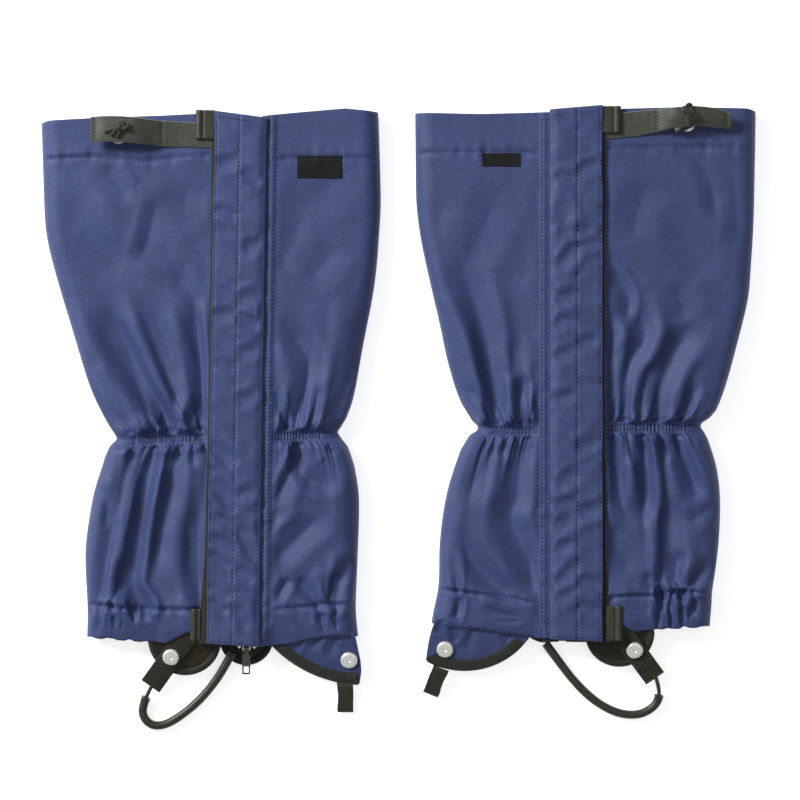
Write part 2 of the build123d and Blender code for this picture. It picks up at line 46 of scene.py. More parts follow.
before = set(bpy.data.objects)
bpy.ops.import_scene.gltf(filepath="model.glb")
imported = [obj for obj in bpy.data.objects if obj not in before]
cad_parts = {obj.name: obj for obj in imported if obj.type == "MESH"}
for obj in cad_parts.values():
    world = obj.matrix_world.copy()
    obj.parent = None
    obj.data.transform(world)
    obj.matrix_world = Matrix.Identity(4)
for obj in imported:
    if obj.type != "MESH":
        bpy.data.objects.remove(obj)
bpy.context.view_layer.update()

MM = 0.001
MIDDLE_Y = 7.83         # Y of the frame's origin
FRONT = 19.6            # usual height of the front fabric
FOLD_Z = 8.5            # height of the side folds
BACK = 0.55             # height of the back layer
CLOTH = 0.6             # thickness of the shell fabric
FOLD_GAIN = 1.55        # how much deeper the folds lie than their listed depths
DEEPEST = 6.5           # no fold goes deeper than this
ROLL = 13.0             # width of the turned-over side of the front
SLOPE = math.tan(math.radians(15))      # of the pieces below the hem
DRAPE_Z = 14.2          # height of the pieces below the hem, where they leave it
BACK_ROLL = 12          # width of the turned-over side of the back
CORD_RADIUS = 1.5       # of the instep cord
HEM_CORD = 1.45         # radius of the drawcord
TUBE_SIDES = 18
STRAP_THICK = 1.3
FLAP_THICK = 1.8
FLAP_ROWS = (-3, 398)   # start and length of the flap in the zip's frame
BARE_Z = 19.4           # the label lies no lower than this


# ---- camera, light and floor ----

def area_light(name, place, size, power):
    data = bpy.data.lights.new(name, "AREA")
    data.shape = "SQUARE"
    data.size = size
    data.energy = power
    lamp = bpy.data.objects.new(name, data)
    lamp.location = place
    lamp.rotation_euler = (-lamp.location).to_track_quat("-Z", "Y").to_euler()
    bpy.context.scene.collection.objects.link(lamp)


camera_data = bpy.data.cameras.new("camera")
camera_data.sensor_width = 36
camera_data.lens = 143.1
camera_data.clip_end = 20
camera = bpy.data.objects.new("camera", camera_data)
camera.location = (0.0011, 0.0068, 2.4)
bpy.context.scene.collection.objects.link(camera)
bpy.context.scene.camera = camera
bpy.context.scene.view_settings.view_transform = "Standard"

area_light("key", (-2.2, 1.5, 1.8), 0.9, 124)
area_light("fill", (0.9, -0.3, 2.0), 1.2, 3.2)
world = bpy.data.worlds.new("studio")
world.use_nodes = True
tree = world.node_tree
direction = tree.nodes.new("ShaderNodeTexCoord")
height = tree.nodes.new("ShaderNodeSeparateXYZ")
ramp = tree.nodes.new("ShaderNodeMapRange")
for key, value in (("From Min", 0.1), ("From Max", 0.95), ("To Min", 0.05), ("To Max", 1.0)):
    ramp.inputs[key].default_value = value
tree.links.new(direction.outputs["Generated"], height.inputs[0])
tree.links.new(height.outputs["Z"], ramp.inputs["Value"])
tree.links.new(ramp.outputs["Result"], tree.nodes["Background"].inputs["Color"])
tree.nodes["Background"].inputs["Strength"].default_value = 0.42
bpy.context.scene.world = world


# ---- the two gaiters ----

# outer, inner and tongue_side give (Y, U) down a side, strap_rise (U, z), strap (U, middle Y, half width),
# route (U, Y, z) and a lobe (U, Y, radius). Other lines are (U, Y). label is U, U, Y, Y. In the zip's own
# frame, tab_top and tab_bottom are x, x, y, y, and flap_top and flap_bottom are y at x -10 and 30.
# A fold is (depth, half width right of its line, half width left of it, ends, line), as seen walking along
# it. In ends, 1 keeps its depth to that end and 0 lets it fade. A flap fold is (depth, half width, line).

LEFT = SimpleNamespace(
    name="left", hand=-1, zip_low=(113.6, -165), tilt=0.87,
    outer=[(-166, 234.4), (-143, 233.6), (-120, 235.1), (-98, 235.9), (-75, 232.9), (-53, 229.1),
           (-36, 223.2), (-29, 221.2), (-20, 217.4), (-14.6, 211.6), (-11, 213.6), (-5, 217.6), (1, 221),
           (13, 227.2), (26, 232.9), (48, 239.6), (71, 246.4), (93, 253.1), (116, 259.9), (138, 265.1),
           (161, 266.6), (200, 267.8), (228, 268.5)],
    inner=[(-168, 29.6), (-143, 32.6), (-132, 31.9), (-75, 29.6), (-53, 29.6), (-42, 31.9), (-35, 33),
           (-26, 36), (-20, 38.2), (-14, 43.2), (-9.5, 46), (-5, 42.8), (1, 39.2), (13, 34.6), (26, 31.6),
           (48, 28.1), (71, 23.6), (93, 19.1), (116, 16.1), (138, 14.6), (161, 13.1), (193, 13.9),
           (234, 15.3)],
    top=[(15, 230.6), (40, 233), (75, 230), (104, 227), (140, 229.5), (178, 227.5), (225, 226), (262, 224),
         (269, 222)],
    bottom=[(28, -163), (45, -162.6), (60, -163.6), (84, -168.6), (104, -170), (135, -168), (150, -160),
            (158, -159.4), (174, -167.6), (200, -165.5), (235, -163.4)],
    waist=[(28, -9.5), (60, -12), (100, -13), (150, -13.5), (180, -15), (212, -17)],
    top_stitch=[(13, 196), (60, 196.5), (105, 195), (150, 198), (190, 193.5), (230, 197), (268, 195)],
    low_stitch=[(30, -139), (57, -138.8), (66, -140), (100, -143.3), (146, -142.8), (189, -142),
                (234, -138.6)],
    inner_stitch=[(31, -160.7), (57, -162), (75, -166)],
    flap_top=(390.8, 395.6), flap_bottom=(-4.9, -2.8), zip_end=(5.6, -4.6),
    tab_top=(29.4, 44, 374, 396), tab_bottom=(34.6, 42.4, -1, 23),
    strap=[(124, 212, 9.4), (150, 212.8, 9.4), (177, 213.9, 9.5), (190, 215.2, 9.6), (205, 216.6, 9.7),
           (218, 216.8, 9.7), (229.9, 216.4, 9.5)],
    strap_rise=[(124, 20.9), (165, 20.9), (178.4, 22.6), (197, 30.6), (209, 31), (221.5, 30.7),
                (229.9, 28.4)],
    strap_stitches=(176.5, 226), strap_tilt=0.05,
    lock=(209.5, 212.2), lock_angle=180, knot=(205.4, 218.6), tails=[(219, 214.4), (214.6, 211.6)],
    cord_y=213, waist_y=-12.5,
    label=(42.4, 75.75, 180.75, 197.6),
    hem_y=-165, tongue_y=-165,
    tongue_edge=[(98, -166), (62, -192.5), (28.3, -199.5)],
    tongue_u=(28.3, 97), tongue_top=-158,
    tongue_side=[(-199, 29.4), (-190, 27.9), (-181, 28.5), (-173, 30.2), (-166, 31.6), (-158, 33.5)],
    tongue_folds=[((59, -163), (66, -174)), ((47, -163), (52, -180)), ((74, -168), (80, -174))],
    lobe_a=(160.5, -165, 27), lobe_b=(114.8, -165, 19.9),
    webbing=((157.3, -160), (185.1, -198.5)),
    route=[(185.6, -200.2, 7.3), (188.2, -205.2, 6.3), (191.9, -213.6, 4.9), (193.3, -222.6, 3.9),
           (187.4, -230.4, 3.6), (177.5, -230.9, 3.4), (166, -224.9, 3.5), (151.1, -213, 3.8),
           (138, -197.6, 4.6), (131, -186.2, 6), (124.8, -174.9, 6.7)],
    cord_length=121.1,
    loop_start=(40, -202, 5), loop_turn=0, loop_drop=8,
    gathers=3,
    folds=[
        (5.2, 4.5, 7, "01", [(222, 100), (218, 88), (205, 58), (189, 26), (173, 1), (169.5, -9)]),
        (-1.8, 4, 5, "01", [(214, 92), (196, 56), (181, 26), (166, 1)]),
        (4.2, 2.6, 5, "01", [(156, 98), (153, 83), (150, 59), (147.4, 34), (146.6, 5), (146.4, -10)]),
        (1.7, 6, 7, "00", [(189, 96), (176, 63), (163, 31), (158, 14)]),
        (3.4, 4.5, 6, "01", [(241, 42), (234, 27.5), (213, 5), (201, -9)]),
        (1.3, 4, 5, "00", [(168, 112), (156, 96), (142, 84)]),
        (-1.7, 3, 3, "01", [(155, 22), (160, 9), (163.5, -6)]),
        (2.4, 5, 5, "01", [(88, 84), (83, 72), (70, 50), (67, 34), (73, 11), (83, -8)]),
        (2.6, 3.5, 6, "01", [(19, 105), (23, 88), (31, 47), (42, 15), (49, -6)]),
        (1.6, 2.5, 2.5, "01", [(94, 26), (91, 14), (84, -5)]),
        (1.5, 2.5, 2.5, "01", [(57, 28), (60, 14), (64, -5)]),
        (2.2, 9, 12, "00", [(250, 172), (247, 163), (237, 145), (215, 120), (206, 98)]),
        (2.2, 9, 4.5, "00", [(177, 172), (182, 158), (185, 145), (189, 131), (198, 112)]),
        (1.6, 9, 9, "00", [(156, 180), (160, 158), (158, 138)]),
        (1.8, 4.5, 7, "00", [(221, 194), (206, 171), (197, 165)]),
        (1.4, 6, 8, "00", [(178, 138), (166, 109), (155, 94)]),
        (1.3, 7, 9, "00", [(72, 155), (80, 131), (94, 106)]),
        (1.4, 7, 9, "00", [(44, 134), (55, 117), (70, 102)]),
        (1, 9, 9, "00", [(40, 185), (60, 168), (90, 150)]),
        # below the waist
        (5.6, 4, 6.5, "11", [(183, -16), (186, -28), (189, -48), (193.7, -76), (197.8, -105),
                             (199.5, -124), (190, -140)]),
        (-1.2, 3, 4, "00", [(196, -40), (201, -72), (205, -98), (206, -118)]),
        (3.2, 5, 4, "10", [(165, -17), (168, -34), (171, -53), (176, -78), (179, -99), (183, -119)]),
        (2.4, 4, 5, "11", [(197, -16), (200, -28), (205, -44), (208.5, -62), (215, -86), (219, -112),
                           (223, -138)]),
        (1.8, 4, 4, "00", [(226, -46), (219, -60), (219.5, -84)]),
        (2.2, 3, 3, "01", [(202, -99), (205, -112), (210, -126), (215, -140)]),
        (2.8, 6, 6, "01", [(151, -44), (149.5, -58), (150, -78), (151, -96), (149, -120), (148, -140)]),
        (1.8, 9, 7, "00", [(160, -66), (157, -88), (155, -112), (152, -132)]),
        (2.4, 3, 4, "10", [(175, -17), (176, -28), (178, -40)]),
        (1.8, 2.5, 2.5, "10", [(153.5, -17), (153, -26), (155, -38)]),
        (2.6, 4, 2.6, "10", [(77, -14), (77, -26), (81.5, -40), (88, -53), (97, -69)]),
        (2.6, 8, 3.5, "10", [(73, -14), (74.5, -32), (69, -44), (56, -49), (42, -56)]),
        (2, 6, 6, "00", [(54, -68), (62, -76), (75, -88), (91, -104), (101, -109)]),
        (1.2, 3, 3, "01", [(90, -66), (98, -82)]),
        (1.5, 3, 3, "00", [(81, -117), (86, -126), (93, -136)]),
        (2.2, 3.5, 3, "01", [(76, -117), (70, -127), (60, -139)]),
        (2.2, 3, 3, "01", [(46, -112), (49, -124), (53, -138)]),
        (2.8, 4, 3, "01", [(36, -98), (39, -110), (44, -122), (47, -139)]),
        (1.7, 4, 7, "00", [(34, -40), (30, -70), (32, -100)]),
        # heel and hem
        (1.9, 2.2, 2.2, "10", [(221.5, -140), (224, -151), (228, -166)]),
        (2.1, 2, 2.4, "11", [(214.5, -140), (213, -151), (216.5, -166)]),
        (2.1, 2.2, 2.4, "11", [(208, -142), (207, -152), (212, -167)]),
        (2.4, 2, 3, "11", [(199, -141), (198, -152), (192, -167)]),
        (1.5, 2.2, 2.2, "00", [(57, -140), (58, -151), (53, -163)]),
        (1.4, 2, 2, "00", [(46, -140), (47, -150), (45, -160)]),
        (1.2, 3, 3, "00", [(96, -144), (88, -152), (76, -160)]),
    ],
    flap_folds=[
        (0.9, 2.2, [(-5, 300), (4, 296)]), (0.8, 2, [(13, 318), (26, 323)]),
        (1, 2.4, [(-5, 262), (8, 256)]), (0.8, 2, [(12, 247), (27, 243)]),
        (1.1, 2.4, [(-5, 238), (9, 243)]), (0.7, 2, [(-4, 220), (8, 216)]),
        (0.7, 2, [(12, 205), (25, 208)]), (0.8, 2.2, [(-4, 186), (8, 181)]),
        (1.2, 2.6, [(27, 145), (12, 132)]), (1.3, 2.6, [(26, 118), (18, 108), (12, 96)]),
        (0.9, 2.2, [(-4, 116), (8, 109)]), (1.2, 2.4, [(8, 84), (0, 74), (-4, 60)]),
        (1, 2.2, [(27, 92), (13, 86)]), (1.1, 2.4, [(27, 76), (20, 72), (11, 68)]),
        (1, 2.2, [(27, 64), (14, 57)]), (1, 2.2, [(27, 40), (13, 32)]),
        (0.9, 2.2, [(26, 30), (17, 22)]), (0.9, 2.4, [(7, 52), (-3, 46)]), (0.8, 2, [(7, 24), (1, 12)]),
        (0.8, 2, [(-4, 345), (7, 352)]), (0.7, 2, [(13, 360), (27, 356)]),
    ],
)

RIGHT = SimpleNamespace(
    name="right", hand=1, zip_low=(122.6, -163.5), tilt=0,
    outer=[(-160, 234), (-143, 235.9), (-132, 235.1), (-120, 237.4), (-98, 240.4), (-75, 241.9),
           (-53, 241.9), (-42, 240.4), (-35, 239.2), (-23, 235.5), (-14, 232.4), (-9, 229.5), (-6.2, 227.2),
           (-3, 227.4), (1, 234), (7, 239), (13, 241.6), (26, 246.4), (48, 252.4), (71, 258.4), (93, 263.6),
           (116, 265.1), (138, 266.6), (161, 267.4), (195, 268.1), (234, 268.8)],
    inner=[(-170, 23.6), (-154, 26), (-143, 27.6), (-132, 29.4), (-120, 30.6), (-98, 30.4), (-75, 32.6),
           (-53, 36.4), (-38, 41.2), (-23, 46.5), (-14, 51.8), (-10.5, 54.5), (-8.6, 59.2), (-4.6, 59.6),
           (-2, 55.9), (1, 54), (13, 46.6), (26, 41.6), (48, 35.6), (71, 31.1), (93, 25.9), (116, 20.6),
           (138, 16.1), (161, 13.1), (230, 12.4)],
    top=[(12, 229.9), (60, 228.8), (112, 230), (160, 232.5), (215, 234), (262, 233), (269, 231)],
    bottom=[(20, -152.4), (45, -155.4), (84, -160.8), (104, -164), (150, -162), (166, -154), (178, -159.4),
            (195, -156.6), (236, -155)],
    waist=[(58, -8.5), (100, -8.3), (150, -6.5), (190, -6.2), (228, -6.6)],
    top_stitch=[(12, 199.5), (45, 200.5), (80, 200.6), (112, 198.6), (150, 203), (185, 204), (205, 205.5),
                (240, 203.6), (268, 201.6)],
    low_stitch=[(30, -127.2), (44, -129), (78, -133.2), (104, -137.6), (150, -135), (170, -132.3),
                (195, -132.3), (199, -129.2), (236, -129)],
    inner_stitch=[(22, -150.4), (41, -153.6), (71, -157.4), (103, -162.5)],
    flap_top=(395.4, 398.8), flap_bottom=(-0.6, -2.4), zip_end=(6.7, 1.2),
    tab_top=(29.4, 43.8, 377.5, 398), tab_bottom=(32.3, 45, -2, 24),
    strap=[(138, 217, 9.4), (158, 219.4, 9.5), (180, 221.6, 9.3), (193, 223.4, 8.6), (205, 225.2, 7.6),
           (221, 226.6, 7.2), (236, 225.2, 7.2), (248.4, 222.8, 5.6)],
    strap_rise=[(138, 20.9), (176, 20.9), (193.8, 22.6), (204.6, 30.2), (216, 30.9), (227, 30.8),
                (248.4, 27.2)],
    strap_stitches=(192.6, 244), strap_tilt=-0.16,
    lock=(216, 221.5), lock_angle=205, knot=(215.3, 231), tails=[(219.4, 222.6), (223.2, 224.4)],
    cord_y=216, waist_y=-7,
    label=(62.6, 91.1, 189.4, 199.5),
    hem_y=-160, tongue_y=-165.2,
    tongue_edge=[(98, -163), (62, -187.5), (20.8, -181)],
    tongue_u=(20.8, 97), tongue_top=-149,
    tongue_side=[(-189, 20.8), (-185, 19.9), (-181, 20.4), (-166, 22.6), (-158, 24.6), (-149, 27.8)],
    tongue_folds=[((56, -156), (50, -176)), ((40, -156), (44, -168)), ((31, -154), (29, -162)), ((78, -160),
                  (84, -166))],
    lobe_a=(166, -160, 25.6), lobe_b=(111, -148, 19.9),
    webbing=((166, -157.8), (191.4, -192.5)),
    route=[(193.5, -193.9, 7.4), (196.6, -203, 6), (195.6, -212.6, 4.7), (188.5, -219.6, 3.9),
           (178.5, -223.1, 3.5), (164, -221.3, 3.4), (148, -212.6, 3.5), (134, -199.5, 4),
           (121.5, -183.6, 5.2), (110.8, -168.6, 6.7)],
    cord_length=129.7,
    loop_start=(30.5, -190.4, 8), loop_turn=-21, loop_drop=16,
    gathers=11,
    folds=[
        (5, 5, 5.5, "01", [(44, 124), (48, 110), (56, 92), (63, 71), (68, 46), (71, 25), (73, 0)]),
        (-1.4, 5, 4, "01", [(40, 84), (50, 60), (58, 30), (64, 0)]),
        (3.2, 3, 3, "01", [(94, 36), (91, 15), (92, -3)]),
        (1.5, 5, 6, "00", [(82, 62), (86, 46), (82, 26)]),
        (1.8, 2.5, 2.5, "01", [(52, 28), (60, 16), (69, 2)]),
        (2.2, 5, 3, "00", [(155, 114), (164, 106), (172, 94), (172, 82), (167, 70)]),
        (3.2, 5, 4, "01", [(176, 92), (183, 71), (183.5, 58), (174, 46), (168.6, 28), (167, 0)]),
        (3.6, 2.6, 3.6, "01", [(157, 84), (157, 71), (158.5, 38), (160, -2)]),
        (-1.6, 3, 3, "01", [(163.5, 50), (164, 25), (164, 2)]),
        (4.8, 5, 5, "01", [(218, 78), (216, 66), (206, 50), (199.5, 35), (194.6, 19), (193, -2)]),
        (1.8, 7, 7, "00", [(207, 104), (212, 88), (216, 72)]),
        (3, 3.2, 3.2, "01", [(190, 46), (187, 36), (183, 20), (181.5, -2)]),
        (2, 2.6, 2.6, "01", [(222, 30), (219.5, 16), (211, -1)]),
        (1.6, 9, 9, "00", [(80, 178), (63, 140), (50, 114), (56, 96)]),
        (1.6, 8, 8, "00", [(189, 182), (179, 156), (176, 130)]),
        (1.7, 5, 8, "00", [(208, 202), (225, 193), (235.6, 171), (237, 144)]),
        (1.4, 5, 7, "00", [(241, 200), (250, 182), (254, 156), (252, 118)]),
        (1.2, 9, 9, "00", [(205, 150), (220, 128), (232, 100)]),
        (1, 8, 8, "00", [(92, 140), (96, 120), (90, 96)]),
        (1.2, 10, 8, "00", [(36, 170), (30, 140), (36, 112)]),
        # below the waist
        (3.4, 8, 6, "11", [(97, -10), (91, -34), (89, -56), (84, -72), (90, -89), (99, -106), (106, -122)]),
        (2.6, 5, 6, "00", [(40, -76), (45, -88), (55, -106), (66, -118), (78, -128), (102, -136)]),
        (1.8, 7, 5, "10", [(74, -10), (71, -22), (64, -36), (54, -52), (45, -66)]),
        (1.5, 2, 2.5, "01", [(36, -90), (41, -104), (44, -128)]),
        (1.6, 4, 6, "00", [(33, -60), (31, -84), (33, -104)]),
        (3.6, 3.4, 4, "10", [(160.5, -10), (162, -24), (164, -40), (167, -60), (174, -82)]),
        (4.2, 4.4, 3.6, "10", [(182, -10), (183.3, -21), (185, -38), (185, -57), (182, -84)]),
        (-1.6, 3, 3, "10", [(190, -12), (192, -40), (194, -80), (195, -120)]),
        (3.2, 3, 7, "01", [(198, -56), (198.6, -74), (198.6, -100), (197.4, -116), (197, -133)]),
        (3.2, 4.5, 3, "10", [(209, -10), (211, -22), (217, -37), (224, -52), (232, -62)]),
        (1.4, 4, 4, "00", [(238, -62), (228, -70), (215, -79)]),
        (2.8, 3.4, 3.4, "01", [(213, -96), (208, -112), (211, -132)]),
        (2.6, 4, 3.4, "01", [(237, -102), (226, -116), (213, -131)]),
        (1.8, 3, 3, "01", [(184, -114), (190, -122), (197, -132)]),
        (1.6, 9, 9, "00", [(158, -76), (162, -92), (170, -106), (172, -120)]),
        (2, 2.6, 2.6, "10", [(172, -10), (173, -20), (175, -34)]),
        (1.8, 2.6, 2.6, "10", [(196, -10), (198, -20), (203, -32)]),
        (1.7, 2.6, 2.6, "10", [(80, -10), (79, -20), (75, -30)]),
        (2.4, 2.6, 2.4, "11", [(197, -130), (196, -144), (194, -158)]),
        (2.4, 2, 2.4, "11", [(205, -130), (203, -142), (204, -158)]),
        (2.4, 2, 2.4, "11", [(213, -131), (211, -142), (213, -157)]),
        (1.9, 2, 2, "10", [(220, -130), (221, -140), (217, -152)]),
        (1.6, 2.4, 2.4, "00", [(44, -130), (45, -140), (42, -152)]),
        (1.2, 4, 4, "00", [(60, -140), (78, -146), (94, -150)]),
    ],
    flap_folds=[
        (0.9, 2.2, [(-4, 277), (3, 283), (9, 293)]), (0.7, 1.8, [(13, 291), (26, 294)]),
        (0.8, 2.2, [(-4, 253), (8, 256)]), (0.8, 2.2, [(-4, 232), (3, 236), (8, 232)]),
        (0.6, 2, [(12, 219), (24, 221)]), (0.6, 2, [(-4, 210), (8, 214)]),
        (0.9, 2.2, [(26, 146), (12, 140)]), (0.9, 2.2, [(-3, 112), (3, 118), (9, 122)]),
        (1, 2.4, [(-4, 96), (9, 101)]), (1.1, 2.4, [(-5, 80), (2, 86), (9, 93)]),
        (1, 2.2, [(13, 93), (26, 96)]), (0.8, 2, [(-4, 64), (6, 70)]), (0.8, 2, [(-4, 42), (3, 46),
                  (8, 52)]),
        (0.9, 2.2, [(13, 42), (26, 40)]), (0.8, 2, [(13, 23), (26, 20)]), (0.8, 2, [(-4, 26), (7, 34)]),
        (1, 3.2, [(-5, 323), (1, 315), (-3, 308)]), (0.7, 2.2, [(-4, 300), (8, 303), (24, 299)]),
        (0.7, 2, [(-4, 345), (8, 342)]), (0.7, 2, [(13, 348), (27, 352)]),
        (0.6, 2, [(-3, 178), (8, 182)]), (0.6, 2, [(13, 190), (27, 187)]),
    ],
)


def put(g, points):
    """(U, Y, z) millimetres to the frame's metres."""
    p = np.asarray(points, float)
    return np.stack([g.hand * p[..., 0], p[..., 1] - MIDDLE_Y, p[..., 2]], -1) * MM


def closure(g, x, y):
    """A place in the zip's frame, x outward from its centre line and y up along it, as (U, Y)."""
    tilt = math.radians(g.tilt)
    x, y = np.asarray(x, float), np.asarray(y, float)
    return (g.zip_low[0] + x * math.cos(tilt) - y * math.sin(tilt),
            g.zip_low[1] + x * math.sin(tilt) + y * math.cos(tilt))


def zip_u(g, y, across=0.0):
    """U of the zip's line at a height Y."""
    tilt = math.radians(g.tilt)
    return g.zip_low[0] + across - (y - g.zip_low[1]) * math.tan(tilt)


def smooth(t):
    t = np.clip(t, 0, 1)
    return t * t * (3 - 2 * t)


def bell(x, width):
    return np.exp(-(x / width) ** 2)


def quarter(t):
    """A rounded edge: 0 to 1 over t from 0 to 1, along a quarter of a circle."""
    return np.sqrt(1 - (1 - np.clip(t, 0, 1)) ** 2)


def unit(v):
    """Rows of v at length 1."""
    return v / np.linalg.norm(v, axis=1)[:, None]


def walked(line):
    """Length along a line at each of its points."""
    return np.concatenate([[0], np.cumsum(np.linalg.norm(np.diff(line, axis=0), axis=1))])


def through(points, at, soft=0.0):
    """A line through points (a, b), read at a. soft rounds its corners over that many millimetres."""
    a, b = np.array(points, float).T
    if np.ndim(soft) == 0 and soft == 0:
        return np.interp(at, a, b)
    shifts = np.linspace(-2, 2, 17)
    weights = np.exp(-shifts ** 2 / 2)
    total = sum(w * np.interp(np.asarray(at) + s * soft, a, b) for w, s in zip(weights, shifts))
    return total / weights.sum()


def side_line(g, side, y):
    """U of a silhouette: a gentle curve, except at the waist, where it turns sharply."""
    calm = smooth((np.abs(y - g.waist_y) - 14) / 25)
    return through(side, y, 0.9 + 7 * calm)


def rough(x, y, size, seed):
    """Smooth random heights from -1 to 1, with bumps about size across."""
    table = np.random.RandomState(seed).uniform(-1, 1, (64, 64))
    fx, fy = x / size + 1000.0, y / size + 1000.0
    ix, iy = np.floor(fx).astype(int), np.floor(fy).astype(int)
    tx, ty = smooth(fx - ix), smooth(fy - iy)
    a, b = table[ix % 64, iy % 64], table[(ix + 1) % 64, iy % 64]
    c, d = table[ix % 64, (iy + 1) % 64], table[(ix + 1) % 64, (iy + 1) % 64]
    return (a * (1 - tx) + b * tx) * (1 - ty) + (c * (1 - tx) + d * tx) * ty


def curved(points, count=40):
    """A smooth line through points, evenly read."""
    p = np.asarray(points, float)
    p = np.concatenate([[2 * p[0] - p[1]], p, [2 * p[-1] - p[-2]]])
    out = []
    for a, b, c, d in zip(p, p[1:], p[2:], p[3:]):
        for t in np.linspace(0, 1, count, endpoint=False):
            out.append(0.5 * (2 * b + (c - a) * t + (2 * a - 5 * b + 4 * c - d) * t ** 2
                              + (3 * b - a - 3 * c + d) * t ** 3))
    out.append(p[-2])
    return np.array(out)


def crease(u, y, depth, near, far, ends, points):
    """The drop of one fold line. near and far are its half widths on its two sides."""
    points = curved([(a, b, 0) for a, b in points], 4)[:, :2].tolist() if len(points) > 2 else points
    best, side, share = np.full(u.shape, 1e9), np.zeros(u.shape), np.zeros(u.shape)
    steps = [math.dist(p, q) for p, q in zip(points, points[1:])]
    done = 0
    for (ax, ay), (bx, by), step in zip(points, points[1:], steps):
        t = np.clip(((u - ax) * (bx - ax) + (y - ay) * (by - ay)) / step ** 2, 0, 1)
        px, py = u - ax - t * (bx - ax), y - ay - t * (by - ay)
        far_off = np.hypot(px, py)
        closer = far_off < best
        cross = (bx - ax) * (y - ay) - (by - ay) * (u - ax)
        best = np.where(closer, far_off, best)
        side = np.where(closer, np.sign(cross), side)
        share = np.where(closer, (done + t * step) / sum(steps), share)
        done += step
    widen = {"01": 1 - share, "10": share}.get(ends, 0.25 + 0 * share)
    width = np.where(side > 0, far, near) * (0.85 + 0.8 * widen)
    start = 1.0 if ends[0] == "1" else smooth(share / 0.3)
    finish = 1.0 if ends[1] == "1" else smooth((1 - share) / 0.3)
    profile = np.exp(-(best / width) ** 1.6) - 0.36 * bell(best / width - 2.3, 0.85)
    return depth * profile * start * finish


def pleats(q, pitch, seed):
    """Ridges side by side with narrow valleys between them, uneven in width."""
    q = q + pitch * 0.9 * rough(q, q * 0, pitch * 2.7, seed)
    return np.abs(np.sin(math.pi * q / pitch)) - 0.64


